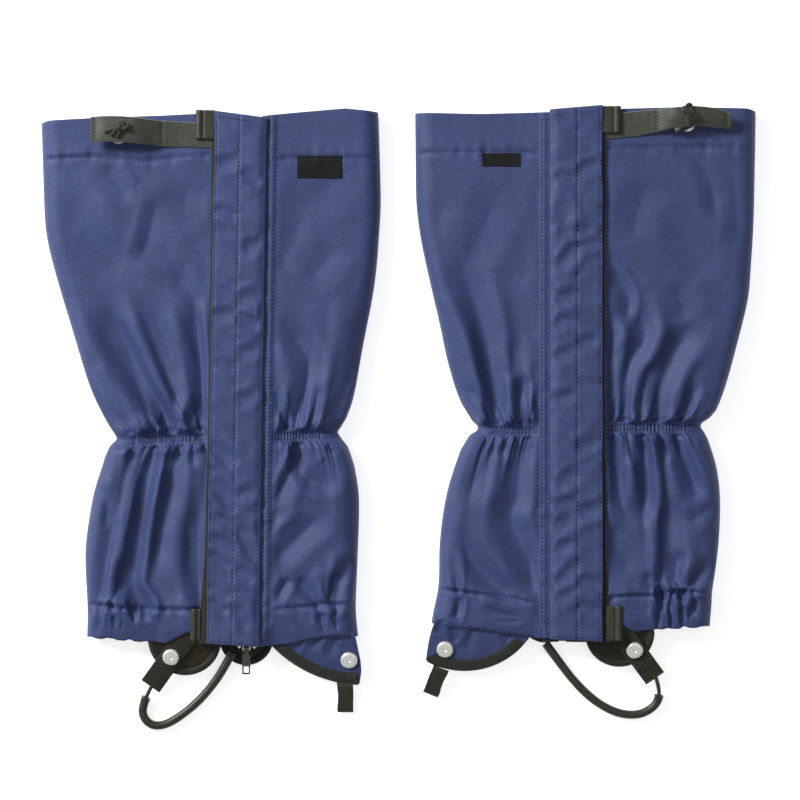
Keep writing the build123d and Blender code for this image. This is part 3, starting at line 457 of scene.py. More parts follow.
def front_height(g, u, y):
    """Height of the front fabric's outside surface."""
    across = u - zip_u(g, y)            # distance outward from the zip's line
    outer = across > 0
    edge = np.where(outer, side_line(g, g.outer, y), side_line(g, g.inner, y))
    # 0 on the strip that the zip and its flap take, 1 beyond it
    off_zip = np.where(outer, smooth((across - 28) / 10), smooth((-across - 15.5) / 9))
    waist = through(g.waist, u)
    up = y - waist                      # distance above the waist elastic
    stitch, low = through(g.top_stitch, u, 3), through(g.low_stitch, u, 3)
    free = off_zip * (1 - 0.75 * smooth((y - stitch + 2) / 5))
    band = np.exp(-(up / 5.2) ** 6)
    in_folds = free * (1 - 0.85 * band)
    height = np.full(u.shape, FRONT)
    height = height + off_zip * (0.7 * bell(np.abs(up) - 34, 22) - 3.0 * bell(up, 8.0))
    drop = 0.0
    for depth, near, far, ends, points in g.folds:
        us, ys = [p[0] for p in points], [p[1] for p in points]
        reach = 6 * max(near, far)
        close = (u > min(us) - reach) & (u < max(us) + reach)
        close &= (y > min(ys) - reach) & (y < max(ys) + reach)
        if close.any():
            part = np.zeros(u.shape)
            part[close] = crease(u[close], y[close], depth, near, far, ends, points)
            drop = drop + part
    calm = 1 - 0.35 * smooth((up - 70) / 40)
    height = height - DEEPEST * np.tanh(FOLD_GAIN * drop * calm / DEEPEST) * in_folds
    # gathers that fan out from the waist elastic
    q = across / np.maximum(np.abs(edge - zip_u(g, y)), 1) * 100
    away = np.maximum(np.abs(up) - 3.3, 0)
    above = (up > 0) * 1.0
    ribs = np.exp(-(up / 3.7) ** 8)
    pull = 1.1 * ribs * pleats(u, 2.25, g.gathers) + 1.3 * bell(away - 4.5, 4) * (1 - ribs)
    for size, reach, strength in ((6.6, 12, 2.1), (13.0, 28, 2.3)):
        own = 0.45 + 1.1 * (0.5 + 0.5 * rough(q, above * 50, size * 1.1, g.gathers + 7))
        fan = q + 0.05 * away * rough(q, above * 50, size * 2, g.gathers + 9)
        wave = above * pleats(fan, size, g.gathers + 1) + (1 - above) * pleats(fan, size, g.gathers + 2)
        pull = pull + strength * np.exp(-(away / (reach * own)) ** 1.3) * wave * smooth((away - 0.3) / 2.5)
    height = height + pull * off_zip
    in_band = np.exp(-(up / 3.6) ** 6)
    height = height - off_zip * in_band * 0.25 * (bell(up - 1.9, 0.5) + bell(up + 1.9, 0.5))
    # hems: a stitched groove with puckers along it
    for line, strength in ((stitch, 1.0), (low, 1.2)):
        from_line = y - line
        groove = 1.25 * bell(from_line, 1.5)
        above_line = smooth(from_line / 3) * bell(from_line, 9)
        groove = groove - (1.3 if strength > 1 else 0.5) * above_line
        pucker = 0.75 * rough(u, y * 0.3, 5.0, 21) * bell(from_line, 6)
        height = height + strength * off_zip * (pucker - groove)
    height = height + 0.5 * smooth((low - y) / 1.2) * off_zip
    here = (u < g.inner_stitch[-1][0]) * 1.0
    height = height - here * 0.7 * bell(y - through(g.inner_stitch, u), 1.0)
    heel = smooth((u - 188) / 6) * smooth((232 - u) / 8) * bell(np.maximum(np.abs(y - low + 12) - 9, 0), 6)
    height = height + 1.2 * heel * pleats(u, 7.2, g.gathers + 5)
    # broad softness, then small creases
    height = height + free * (1.1 * rough(u, y, 52, 3 + g.gathers) + 0.5 * rough(u, y, 21, 4 + g.gathers)
                              + 0.13 * rough(u, y, 9.5, 14 + g.gathers))
    height = height + (0.25 + 0.75 * off_zip) * 0.07 * rough(u, y * 0.7, 6.5, 5 + g.gathers)
    # the welt that the flap is sewn to, with its two rows of stitches
    welt = smooth((across + 17.2) / 1.2) * smooth((-across - 4) / 3)
    rows = bell(across + 11.4, 0.8) + bell(across + 15.6, 0.8)
    seam_rise = smooth((across + 40) / 27) * smooth((-across - 8.6) / 1.2)
    height = height + 1.0 * welt - 0.5 * rows + 1.3 * seam_rise
    height = height + (0.3 + 0.35 * (y < waist)) * rough(u * 0.4 + y * 0.4, y, 5, 22) * bell(across + 14, 4)
    # under the strap it stays flat
    (first, y0, half), last = g.strap[0], g.strap[-1]
    over = smooth((u - first + 6) / 6) * smooth((last[0] - 22 - u) / 10) * smooth((y - y0 + half + 5) / 5)
    height = height * (1 - over) + 19.9 * over
    # the bottom edge comes down over the pieces that hang from it
    hang = np.where(outer, g.hem_y, g.tongue_y)
    slope = DRAPE_Z + 2.9 + (y - hang) * SLOPE + 1.8 * smooth((u - 148) / 8) * smooth((182 - u) / 10)
    along_zip = np.where(outer, smooth((across - 9) / 30), smooth((-across + 1) / 24))
    limit = slope + 9 * (1 - along_zip)
    blend = np.minimum(height, limit + 0.35 * rough(u, y, 8, 6))
    return np.where(y < low + 14, blend, height)


def shell_top(g, u, y):
    """Height of the shell's front, its turned-over sides included."""
    u, y = np.asarray(u, float), np.asarray(y, float)
    z = front_height(g, u, y)
    off = np.minimum(side_line(g, g.outer, y) - u, u - side_line(g, g.inner, y))
    return FOLD_Z + (z - FOLD_Z) * quarter(off / ROLL)


# ---- meshes ----

def grid_faces(rows, cols, start=0):
    i = (np.arange(rows - 1)[:, None] * cols + np.arange(cols - 1)).reshape(-1) + start
    return np.stack([i, i + 1, i + cols + 1, i + cols], -1).tolist()


def rework(mesh, change):
    work = bmesh.new()
    work.from_mesh(mesh)
    change(work)
    work.to_mesh(mesh)
    work.free()


def layers(top, under):
    """The points of a slab: its top's, then its underside's."""
    return np.concatenate([top.reshape(-1, 3), under.reshape(-1, 3)])


def make(name, g, verts, faces, *materials, body=None, flat=False, merge=0.0, rim=None):
    """A mesh piece from (U, Y, z) points. The left gaiter's faces are turned round, as it is mirrored."""
    mesh = bpy.data.meshes.new(f"{g.name}_{name}")
    if g.hand < 0:
        faces = [f[::-1] for f in faces]
    mesh.from_pydata(put(g, verts).tolist(), [], faces)
    for m in materials:
        mesh.materials.append(m)
    if rim is not None:
        mesh.polygons.foreach_set("material_index", np.array(rim, np.int32))
    if merge:
        rework(mesh, lambda work: bmesh.ops.remove_doubles(work, verts=work.verts, dist=merge * MM))
    if not flat:
        mesh.shade_smooth()
    piece = bpy.data.objects.new(f"{g.name}_{name}_look", mesh)
    bpy.context.scene.collection.objects.link(piece)
    if body:
        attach(piece, f"{g.name}_{body}")
    return piece


def slab_faces(rows, cols):
    """Faces of a closed slab: rows x cols points on top, then as many below. The rim's come last."""
    n = rows * cols
    under = [f[::-1] for f in grid_faces(rows, cols, n)]
    loop = [*range(cols), *range(2 * cols - 1, n, cols)]
    loop += [*range(n - 2, n - cols - 1, -1), *range(n - 2 * cols, 0, -cols)]
    rim = [[a, a + n, b + n, b] for a, b in zip(loop, loop[1:] + loop[:1])]
    return grid_faces(rows, cols) + under + rim


def spread(low, high, step, lip=0.5):
    """Places from low to high, closer together near both ends."""
    inner = np.linspace(low + lip, high - lip, max(2, int(round((high - low - 2 * lip) / step)) + 1))
    ends = np.array([0, 0.12, 0.45])
    return np.concatenate([low + ends * lip, inner, high - ends[::-1] * lip])


def strip(name, g, xs, ys, place, height, thick, *materials, body=None, lip=0.5, edge=None):
    """A flat piece with rounded edges. place(x, y) gives (U, Y) and height(x, y) the z of its underside."""
    x, y = np.meshgrid(xs, ys)
    off = np.minimum(np.minimum(x - xs[0], xs[-1] - x), np.minimum(y - ys[0], ys[-1] - y))
    round_off = quarter(off / lip)
    u, v = place(x, y)
    z = height(x, y)
    top = np.stack([u, v, z + thick * (1 + round_off) / 2], -1)
    under = np.stack([u, v, z + thick * (1 - round_off) / 2], -1)
    faces = slab_faces(*x.shape)
    index = None
    if edge:
        materials = (*materials, edge)
        near = np.tile((off < lip * 0.5).reshape(-1), 2)
        index = [int(near[f].sum() >= 3) for f in np.array(faces)]
    return make(name, g, layers(top, under), faces, *materials, body=body, merge=0.01, rim=index)


def ring_faces(rings, sides):
    """Faces round a stack of rings."""
    pairs = [(s, (s + 1) % sides) for s in range(sides)]
    starts = range(0, (rings - 1) * sides, sides)
    return [[k + s, k + t, k + sides + t, k + sides + s] for k in starts for s, t in pairs]


def tube_data(points, radius, sides=10):
    """Points and faces of a round tube along a line, with its ends closed."""
    p = np.asarray(points, float)
    along = unit(np.gradient(p, axis=0))
    normal = np.cross(along[0], (0.31, 0.17, 0.93))
    rings = []
    radius = np.broadcast_to(radius, len(p))
    for place, direction, r in zip(p, along, radius):
        normal = normal - direction * (normal @ direction)
        normal = normal / np.linalg.norm(normal)
        second = np.cross(direction, normal)
        turn = np.linspace(0, 2 * math.pi, sides, endpoint=False)[:, None]
        rings.append(place + r * (np.cos(turn) * normal + np.sin(turn) * second))
    faces = ring_faces(len(p), sides)
    faces.append(list(range(sides))[::-1])
    faces.append([(len(p) - 1) * sides + s for s in range(sides)])
    return np.concatenate(rings), faces


def join_data(parts):
    verts, faces, start = [], [], 0
    for v, f in parts:
        verts.append(np.asarray(v, float))
        faces += [[i + start for i in face] for face in f]
        start += len(v)
    return np.concatenate(verts), faces


def stitches(name, g, lines, surface, material, body, pitch=2.6, long=1.9, wide=0.5, proud=0.22):
    """Rows of stitches lying along (U, Y) lines on a surface z(u, y)."""
    ends, tops = [], []
    for line in lines:
        line = np.asarray(line, float)
        steps = walked(line)
        places = np.arange(pitch / 2, steps[-1], pitch)
        for shift, out in ((-long / 2, ends), (long / 2, tops)):
            out.append(np.stack([np.interp(places + shift, steps, line[:, k]) for k in (0, 1)], -1))
    a, b = np.concatenate(ends), np.concatenate(tops)
    mid = (a + b) / 2
    direction = unit(b - a)
    side = np.stack([-direction[:, 1], direction[:, 0]], -1) * wide / 2
    rings = []
    corners = (a, -0.12), (b, -0.12), (mid + side, 0.02), (mid - side, 0.02), (mid, proud), (mid, -0.3)
    for spot, lift in corners:
        rings.append(np.concatenate([spot, (surface(spot[:, 0], spot[:, 1]) + lift)[:, None]], 1))
    verts = np.stack(rings, 1).reshape(-1, 3)
    pattern = [(0, 4, 2), (2, 4, 1), (1, 4, 3), (3, 4, 0), (2, 5, 0), (1, 5, 2), (3, 5, 1), (0, 5, 3)]
    faces = [[6 * k + i for i in f[::-1]] for k in range(len(a)) for f in pattern]
    return make(name, g, verts, faces, material, body=body)


# ---- materials ----

class Paint:
    """A node material. Its layers take their range or depth first, then the noise's size in millimetres."""

    def __init__(self, name, colour, roughness=0.6, metallic=0.0, **sockets):
        self.made = bpy.data.materials.new(name)
        self.made.use_nodes = True
        self.shader = self.made.node_tree.nodes["Principled BSDF"]
        self.where = self.node("ShaderNodeTexCoord").outputs["Object"]
        sockets.update(base_color=(*colour, 1), roughness=roughness, metallic=metallic)
        for key, value in sockets.items():
            self.shader.inputs[key.replace("_", " ").title().replace("Ior", "IOR")].default_value = value

    def node(self, kind, inputs=(), **settings):
        """A new node. Each input gets a number or a link."""
        n = self.made.node_tree.nodes.new(kind)
        for key, value in settings.items():
            setattr(n, key, value)
        for key, value in dict(inputs).items():
            if isinstance(value, bpy.types.NodeSocket):
                self.made.node_tree.links.new(value, n.inputs[key])
            else:
                n.inputs[key].default_value = value
        return n

    def feed(self, socket, output):
        """Puts an output on a socket of the shader."""
        self.made.node_tree.links.new(output, self.shader.inputs[socket])
        return self

    def noise(self, size, detail=2.0):
        values = {"Vector": self.where, "Scale": 1000 / size, "Detail": detail}
        return self.node("ShaderNodeTexNoise", values).outputs["Fac"]

    def ramp(self, fac, low, high):
        """The middle of fac's range, spread from low to high."""
        values = {"Value": fac, "From Min": 0.3, "From Max": 0.7, "To Min": low, "To Max": high}
        return self.node("ShaderNodeMapRange", values).outputs["Result"]

    def vary(self, low, high, *noise):
        """The colour runs from low to high times its own value. Layers multiply."""
        values = {"Factor": self.ramp(self.noise(*noise), 0, 1), "A": (*[low] * 3, 1), "B": (*[high] * 3, 1)}
        mix = self.node("ShaderNodeMix", values, data_type="RGBA", blend_type="MIX")
        base = self.shader.inputs["Base Color"]
        below = base.links[0].from_socket if base.links else tuple(base.default_value)
        values = {"Factor": 1.0, "A": below, "B": mix.outputs["Result"]}
        times = self.node("ShaderNodeMix", values, data_type="RGBA", blend_type="MULTIPLY")
        return self.feed("Base Color", times.outputs["Result"])

    def rough_by(self, low, high, *noise):
        return self.feed("Roughness", self.ramp(self.noise(*noise), low, high))

    def raise_by(self, depth, fac):
        """A bump of depth millimetres. Bumps add up."""
        values = {"Strength": 1.0, "Distance": depth * MM, "Height": fac}
        if self.shader.inputs["Normal"].links:
            values["Normal"] = self.shader.inputs["Normal"].links[0].from_socket
        return self.feed("Normal", self.node("ShaderNodeBump", values).outputs["Normal"])

    def bump(self, depth, *noise):
        return self.raise_by(depth, self.noise(*noise))

    def ridges(self, depth, period, turn, wobble):
        """Parallel ridges, period millimetres apart, turned in the plan by turn degrees."""
        turned = self.node("ShaderNodeMapping", {"Vector": self.where, "Rotation": (0, 0, math.radians(turn))})
        values = {"Vector": turned.outputs[0], "Scale": 2 * math.pi / (20 * period * MM),
                  "Distortion": wobble, "Detail": 1}
        shape = {"wave_type": "BANDS", "bands_direction": "X", "wave_profile": "SIN"}
        return self.raise_by(depth, self.node("ShaderNodeTexWave", values, **shape).outputs["Fac"])

    def weave(self, period, depth):
        """Fine threads both ways."""
        return self.ridges(depth, period, 0, 0.6).ridges(depth, period, 90, 0.6)


fabric = Paint("navy_nylon", (0.040, 0.059, 0.164), 0.58, sheen_weight=0.1, sheen_roughness=0.4,
               specular_ior_level=0.36, sheen_tint=(0.6, 0.66, 1.0, 1))
fabric.vary(0.93, 1.06, 28, 3).vary(0.84, 1.16, 0.9, 2).vary(0.86, 1.14, 2.0, 2).rough_by(0.52, 0.66, 1.3, 2)
fabric.weave(0.62, 0.035).bump(0.16, 3.4, 4)
lining = Paint("lining", (0.02, 0.022, 0.035), 0.62).vary(0.8, 1.2, 2.0).weave(0.7, 0.03)
# navy stitch thread, painted far darker than its own colour: the dark stands in for the shade in the needle
# holes and stitch grooves (painted shade)
thread = Paint("thread", (0.003, 0.004, 0.016), 0.75, specular_ior_level=0.2).vary(0.75, 1.35, 0.5)
black_thread = Paint("black_thread", (0.008, 0.009, 0.008), 0.6).vary(0.7, 1.4, 0.5)
webbing_paint = Paint("black_webbing", (0.020, 0.018, 0.010), 0.64, sheen_weight=0.1,
                      specular_ior_level=0.32)
webbing_paint.vary(0.65, 1.45, 0.8).bump(0.12, 0.7, 3)
binding = Paint("binding_tape", (0.020, 0.022, 0.017), 0.66, sheen_weight=0.12, specular_ior_level=0.3)
binding.vary(0.6, 1.5, 0.8, 3).vary(0.85, 1.15, 6).bump(0.14, 0.8, 3)
coated = Paint("coated_strap", (0.048, 0.055, 0.041), 0.5, specular_ior_level=0.35)
coated.vary(0.5, 1.6, 0.75, 3).vary(0.9, 1.1, 7).bump(0.12, 0.75, 3)
tab_paint = Paint("edge_tab", (0.029, 0.032, 0.020), 0.5, specular_ior_level=0.4).vary(0.6, 1.5, 0.75, 3)
tab_paint.bump(0.1, 0.75, 3)
cut_edge = Paint("strap_cut_edge", (0.30, 0.31, 0.26), 0.45).vary(0.7, 1.2, 2.2)
patch_paint = Paint("instep_patch", (0.019, 0.015, 0.006), 0.45, specular_ior_level=0.32)
patch_paint.vary(0.6, 1.5, 3.5, 3).bump(0.35, 4.0, 4)
tape_paint = Paint("zip_tape", (0.013, 0.013, 0.012), 0.75, sheen_weight=0.2).vary(0.7, 1.4, 0.6)
tape_paint.weave(0.8, 0.06)
pile = Paint("closure_tape", (0.012, 0.011, 0.006), 0.85, sheen_weight=0.4).vary(0.5, 1.7, 0.7, 4)
pile.bump(0.5, 0.55, 4)
teeth_paint = Paint("zip_teeth", (0.016, 0.017, 0.018), 0.35).vary(0.9, 1.15, 3).bump(0.02, 0.8)
slider_paint = Paint("slider_metal", (0.62, 0.61, 0.58), 0.2, 1.0).rough_by(0.13, 0.3, 1.4, 3)
pull_paint = Paint("zip_pull", (0.05, 0.055, 0.05), 0.38, 0.35).vary(0.75, 1.3, 1.0).bump(0.04, 0.9)
cord_paint = Paint("cord", (0.016, 0.016, 0.011), 0.7, sheen_weight=0.3).vary(0.6, 1.6, 0.5)
cord_paint.ridges(0.12, 0.9, 35, 1.0).ridges(0.12, 0.9, -35, 1.0)
rubber = Paint("tube_rubber", (0.026, 0.026, 0.017), 0.42, specular_ior_level=0.45)
rubber.vary(0.7, 1.35, 1.6, 3).bump(0.09, 2.2, 3)
plastic = Paint("lock_plastic", (0.030, 0.032, 0.028), 0.34).vary(0.85, 1.2, 1.2).bump(0.03, 0.8)
button = Paint("lock_button", (0.19, 0.19, 0.16), 0.36).vary(0.85, 1.15, 1.2).bump(0.03, 0.9)
metal = Paint("rivet_metal", (1.0, 0.99, 0.95), 0.3, 0.65).rough_by(0.24, 0.38, 1.5, 3).bump(0.02, 1.1, 2)
label_paint = Paint("label", (0.004, 0.0045, 0.005), 0.7, sheen_weight=0.05, specular_ior_level=0.25)
label_paint.vary(0.7, 1.4, 0.6).weave(0.5, 0.05)
floor_paint = Paint("floor", (0.93, 0.93, 0.93), 0.8, emission_strength=0.66, emission_color=(1, 1, 1, 1))
floor_paint.vary(0.99, 1.01, 60)

bpy.ops.mesh.primitive_plane_add(size=9, location=(0, 0, -0.0002))
floor = bpy.context.object
floor.name = "floor"
floor.data.materials.append(floor_paint.made)


# ---- instep cords first: their route decides the room they take ----

def instep(g):
    data = bpy.data.curves.new(f"{g.name}_instep_cord", "CURVE")
    data.dimensions = "3D"
    data.bevel_resolution = 4
    data.resolution_u = 12
    data.use_fill_caps = True
    spline = data.splines.new("NURBS")
    spline.points.add(len(g.route) - 1)
    for point, place in zip(spline.points, put(g, g.route)):
        point.co = (*place, 1)
    spline.order_u = 3
    spline.use_endpoint_u = True
    data.materials.append(cord_paint.made)
    cord = bpy.data.objects.new(f"{g.name}_instep_cord_look", data)
    bpy.context.scene.collection.objects.link(cord)
    # the line that the tube follows, read before the cord gets its thickness
    bpy.context.view_layer.update()
    line_mesh = bpy.data.meshes.new_from_object(cord)
    line = np.array([v.co for v in line_mesh.vertices]) / MM
    bpy.data.meshes.remove(line_mesh)
    data.bevel_depth = CORD_RADIUS * MM
    line = line * (g.hand, 1, 1) + (0, MIDDLE_Y, 0)
    mouth = (np.array(g.route[1]) + g.route[2]) / 2
    path = line[np.argmin(np.linalg.norm(line - mouth, axis=1)):]
    steps = walked(path)
    fine = np.arange(0, steps[-1], 1.2)
    path = np.stack([np.interp(fine, steps, path[:, k]) for k in range(3)], -1)
    outside = 3.25 + 0.45 * np.exp(-fine / 1.6) + 0.08 * rough(fine, fine * 0, 9, 31)
    skin, faces = tube_data(path, outside, TUBE_SIDES)
    bore, _ = tube_data(path, 1.75, TUBE_SIDES)
    n = len(skin)
    faces = faces[:-2] + [[i + n for i in f[::-1]] for f in faces[:-2]]
    for end, way in ((0, -1), (n - TUBE_SIDES, 1)):
        for s in range(TUBE_SIDES):
            a, b = end + s, end + (s + 1) % TUBE_SIDES
            faces.append([a, a + n, b + n, b][::way])
    tube = make("instep_tube", g, np.concatenate([skin, bore]), faces, rubber.made, body="instep_loop")
    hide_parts(f"{g.name}_instep_tube")
    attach(cord, f"{g.name}_instep_loop")
    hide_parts(f"{g.name}_instep_cord")


# ---- fabric ----

def shell(g):
    """The fabric tube: front inner panel, side fold, back, side fold and front outer panel in one sheet."""
    base = np.concatenate([np.linspace(-163, -26, 84), np.linspace(-24.9, 8, 40), np.linspace(9.6, 228, 128)])
    bend = np.linspace(0, math.pi / 2, 9)

    def trimmed(u):
        heel = smooth((u - 186) / 8) * smooth((236 - u) / 6)
        ripple = 0.9 * heel * rough(u, u * 0, 4.2, 15 + g.gathers)
        low = (through(g.bottom, u) + 163 + ripple) * smooth(1 - (base + 163) / 45)
        high = (through(g.top, u) - 228) * smooth(1 - (228 - base) / 40)
        return base + low + high

    def front(side, count, back_to_front):
        edge = side_line(g, side, base)
        sign = 1 if side is g.outer else -1
        start = zip_u(g, base, sign * 5.5)
        flat = [(start + (edge - sign * ROLL - start) * s, 1) for s in np.linspace(0, 1, count)]
        turns = [(edge - sign * ROLL * (1 - math.cos(a)), math.sin(a)) for a in bend[::-1][1:]]
        out = []
        for u, turned in flat + turns:
            y = trimmed(u)
            fold = FOLD_Z + 0.6 * rough(y, y * 0, 30, 8)
            out.append(np.stack([u, y, fold + (front_height(g, u, y) - fold) * turned], -1))
        return out[::-1] if back_to_front else out

    def back_turn(edge, way):
        """From a side fold towards the middle of the back."""
        return [(edge + way * BACK_ROLL * (1 - math.cos(a)), FOLD_Z + (BACK - FOLD_Z) * math.sin(a))
                for a in bend[1:]]

    inside, outside = side_line(g, g.inner, base), side_line(g, g.outer, base)
    back = []
    for s in np.linspace(0, 1, 46)[1:-1]:
        u = inside + BACK_ROLL + (outside - inside - 2 * BACK_ROLL) * s
        wave = 0.55 * (1 + rough(u, base, 38, 12 + g.gathers))
        gather = 0.5 * bell(base - g.waist_y, 9) * (1 + pleats(u, 8, 5))
        back.append((u, BACK + wave * smooth(np.minimum(s, 1 - s) * 8) + gather))
    back = back_turn(inside, 1) + back + back_turn(outside, -1)[::-1]
    columns = [np.stack([u, trimmed(u), z + 0 * u], -1) for u, z in back]
    grid = np.stack(front(g.inner, 112, False) + columns + front(g.outer, 158, True), 1)
    faces = [f[::-1] for f in grid_faces(*grid.shape[:2])]
    piece = make("shell", g, grid.reshape(-1, 3), faces, fabric.made, lining.made, body="gaiter")
    thick = piece.modifiers.new("cloth", "SOLIDIFY")
    thick.thickness = CLOTH * MM
    thick.offset = -1
    thick.material_offset = 1
    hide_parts(*[f"{g.name}_{n}" for n in ("outer_panel", "inner_panel", "back_panel", "elastics")])
    return piece


def shell_stitches(g):
    def line(points, low, high, soft=3.0):
        u = np.arange(low, high, 2.0)
        return np.stack([u, through(points, u, soft)], -1)

    inner_gap, outer_gap = zip_u(g, -140) - 17.5, zip_u(g, -140) + 33
    lines = []
    for points in (g.top_stitch, g.low_stitch):
        lines.append(line(points, points[0][0] + 4, inner_gap))
        lines.append(line(points, outer_gap, points[-1][0] - 4))
    lines.append(line(g.inner_stitch, g.inner_stitch[0][0] + 8, g.inner_stitch[-1][0]))
    for across in (-11.4, -15.6):
        y = np.arange(-2, 392, 4.0)
        lines.append(np.stack(closure(g, across + 0 * y, y), -1))
    for shift in (-1.9, 1.9):
        for low, high in ((g.waist[0][0] + 22, inner_gap), (outer_gap, g.waist[-1][0] - 5)):
            lines.append(line(g.waist, low, high, 0) + (0, shift))
    piece = stitches("seams", g, lines, partial(shell_top, g), thread.made, "gaiter", pitch=2.9, long=2.1,
                     wide=1.1, proud=0.5)


def flap_height(g, x, y):
    """Underside of the storm flap in the zip's frame."""
    base = 21.5 + 2.0 * smooth((x + 11.5) / 8.5) - 0.3 * smooth((x - 8) / 5)
    drop = 0.0
    for depth, width, points in g.flap_folds:
        (x0, y0), (x1, y1) = points[0], points[-1]
        reach = 4 / math.dist(points[0], points[-1])
        more = [(x0 - (x1 - x0) * reach, y0 - (y1 - y0) * reach), *points[1:-1],
                (x1 + (x1 - x0) * reach, y1 + (y1 - y0) * reach)]
        drop = drop + crease(x, y, depth, width * 1.8, width * 1.4, "00", more)
    base = base - 1.5 * np.tanh(1.5 * drop) * smooth((x + 8) / 4)
    puckers = 0.352 * rough(x * 0.3, y, 5.5, 51) * (bell(x - 11, 3) + bell(x - 28, 3) + bell(x + 8, 3))
    grooves = 0.6 * bell(x - 11, 0.8) + 0.5 * bell(x - 28.1, 0.7)
    return base + puckers - grooves + 0.4 * rough(x, y, 24, 52) + 0.5 * rough(x, y * 1.3, 10, 53)


def flap_under(g, x, y):
    """The flap's underside: it follows the top, but keeps clear of the slider and the closure tapes."""
    clear = 20.9 + 2.2 * smooth((x + 10) / 5) - 0.75 * smooth((x - 7) / 5)
    pull_room = 0.5 * smooth((48 - y) / 10) * smooth((11 - x) / 4) * smooth((x + 8) / 3)
    return np.maximum(flap_height(g, x, y), clear + pull_room)


def flap(g):
    xs = spread(-9.7, 29.8, 0.8, 0.7)
    x, t = np.meshgrid(xs, spread(0, 1, 1 / 300, 0.002))
    off = np.minimum(np.minimum(x - xs[0], xs[-1] - x), np.minimum(t, 1 - t) * 395)
    bottom, end = (np.interp(x, (-10, 30), row) for row in (g.flap_bottom, g.flap_top))
    y = bottom + (end - bottom) * t
    u, v = closure(g, x + 0.35 * rough(y, x * 0, 22, 54) * smooth((x - 20) / 9), y)
    y = FLAP_ROWS[0] + FLAP_ROWS[1] * t
    low = flap_under(g, x, y)
    high = np.maximum(flap_height(g, x, y) + FLAP_THICK, low + 0.5)
    middle, half = (low + high) / 2, (high - low) / 2 * quarter(off / 0.9)
    top, under = np.stack([u, v, middle + half], -1), np.stack([u, v, middle - half], -1)
    piece = make("flap", g, layers(top, under), slab_faces(*x.shape), fabric.made, merge=0.01)
    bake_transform(piece)
    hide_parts(f"{g.name}_storm_flap")

    lines = []
    for across in (11.0, 28.1):
        y = np.arange(-1, 392, 3.0)
        lines.append(np.stack([across + 0 * y, y], -1))
    x = np.arange(-7, 29, 2.0)
    lines.append(np.stack([x, np.interp(x, (-10, 30), g.flap_bottom) + 2.2], -1))
    lines.append(np.stack([x, np.interp(x, (-10, 30), g.flap_top) - 4.5], -1))
    placed = [np.stack(closure(g, l[:, 0], l[:, 1]), -1) for l in lines]
    tilt = math.radians(g.tilt)

    def top_surface(u, y):
        du, dy = u - g.zip_low[0], y - g.zip_low[1]
        return flap_height(g, du * math.cos(tilt) + dy * math.sin(tilt),
                           -du * math.sin(tilt) + dy * math.cos(tilt)) + FLAP_THICK

    seams = stitches("flap_seams", g, placed, top_surface, thread.made, "flap", pitch=2.9, long=2.0, wide=1.0,
                     proud=0.4)


def tapes(g):
    """Closure tapes, zip tapes, edge tabs and label."""
    at = partial(closure, g)

    def wide(x, y):
        reach = through([(-3, 36), (25, 35.2), (60, 32.6), (150, 31.5), (300, 31.5), (392, 32.2)], y)
        return at(7 + (reach - 7) * x, y)

    loop = strip("loop_tape", g, spread(0, 1, 0.06, 0.02), spread(-3, 391, 3.0), wide,
                 lambda x, y: 19.95 + 0.12 * rough(x * 25, y, 14, 61), 1.5, pile.made, body="gaiter", lip=0.02)
    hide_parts(f"{g.name}_loop_tape")
    hook = strip("hook_tape", g, spread(14, 27.5, 1.0), spread(30, 365, 3.0), at,
                 lambda x, y: np.minimum(flap_under(g, x, y) - 1.0, 22.2), 1.1, pile.made, body="flap")
    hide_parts(f"{g.name}_hook_tape")
    for n, (low, high) in enumerate(((-15, -2.7), (2.7, 15))):
        zip_tape = strip(f"zip_tape_{n}", g, spread(low, high, 0.9), spread(-3, 390, 2.6), at,
                         lambda x, y: 18.25 + 0.1 * rough(x, y, 9, 62), 0.65, tape_paint.made,
                         body="gaiter", lip=0.3)
        if n == 0:
            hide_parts(f"{g.name}_zip_tapes")
    for n, (x0, x1, y0, y1) in enumerate((g.tab_top, g.tab_bottom)):
        z0 = 21.3 if n == 0 else 20.1

        def shape(x, y):
            crown = 0.4 * np.sin(math.pi * (x - x0) / (x1 - x0))
            rolled = 0.9 * bell(x - x1 + 2.6, 1.9) - 0.7 * bell(x - x1 + 5.6, 0.7)
            return z0 + crown + rolled + 0.02 * np.sin(2 * math.pi * (x - x0) / 1.9) + 0.2 * rough(x, y, 7, 63)

        tab = strip(f"edge_tab_{n}", g, spread(x0, x1, 0.4), spread(y0, y1, 0.8), at, shape, 2.1,
                    tab_paint.made, body="gaiter", lip=1.0)
        if n == 0:
            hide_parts(f"{g.name}_edge_tabs")

    def under_label(x, y):
        return np.maximum(front_height(g, x, y), BARE_Z)

    u0, u1, y0, y1 = g.label
    label = strip("label", g, spread(u0, u1, 1.2, 0.4), spread(y0, y1, 1.0, 0.4), lambda x, y: (x, y),
                  lambda x, y: under_label(x, y) + 0.12 + 0.15 * rough(x, y, 11, 64), 0.55,
                  label_paint.made, body="gaiter", lip=0.3)
    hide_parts(f"{g.name}_label")
    u0, u1, y0, y1 = u0 + 1.2, u1 - 1.2, y0 + 1, y1 - 1
    rim = [[(u0, y0), (u1, y0)], [(u0, y0), (u0, y1)], [(u1, y0), (u1, y1)]]
    edge = stitches("label_seams", g, rim, lambda u, y: under_label(u, y) + 0.66,
                    black_thread.made, "gaiter", pitch=1.9, long=1.3, wide=0.35, proud=0.15)


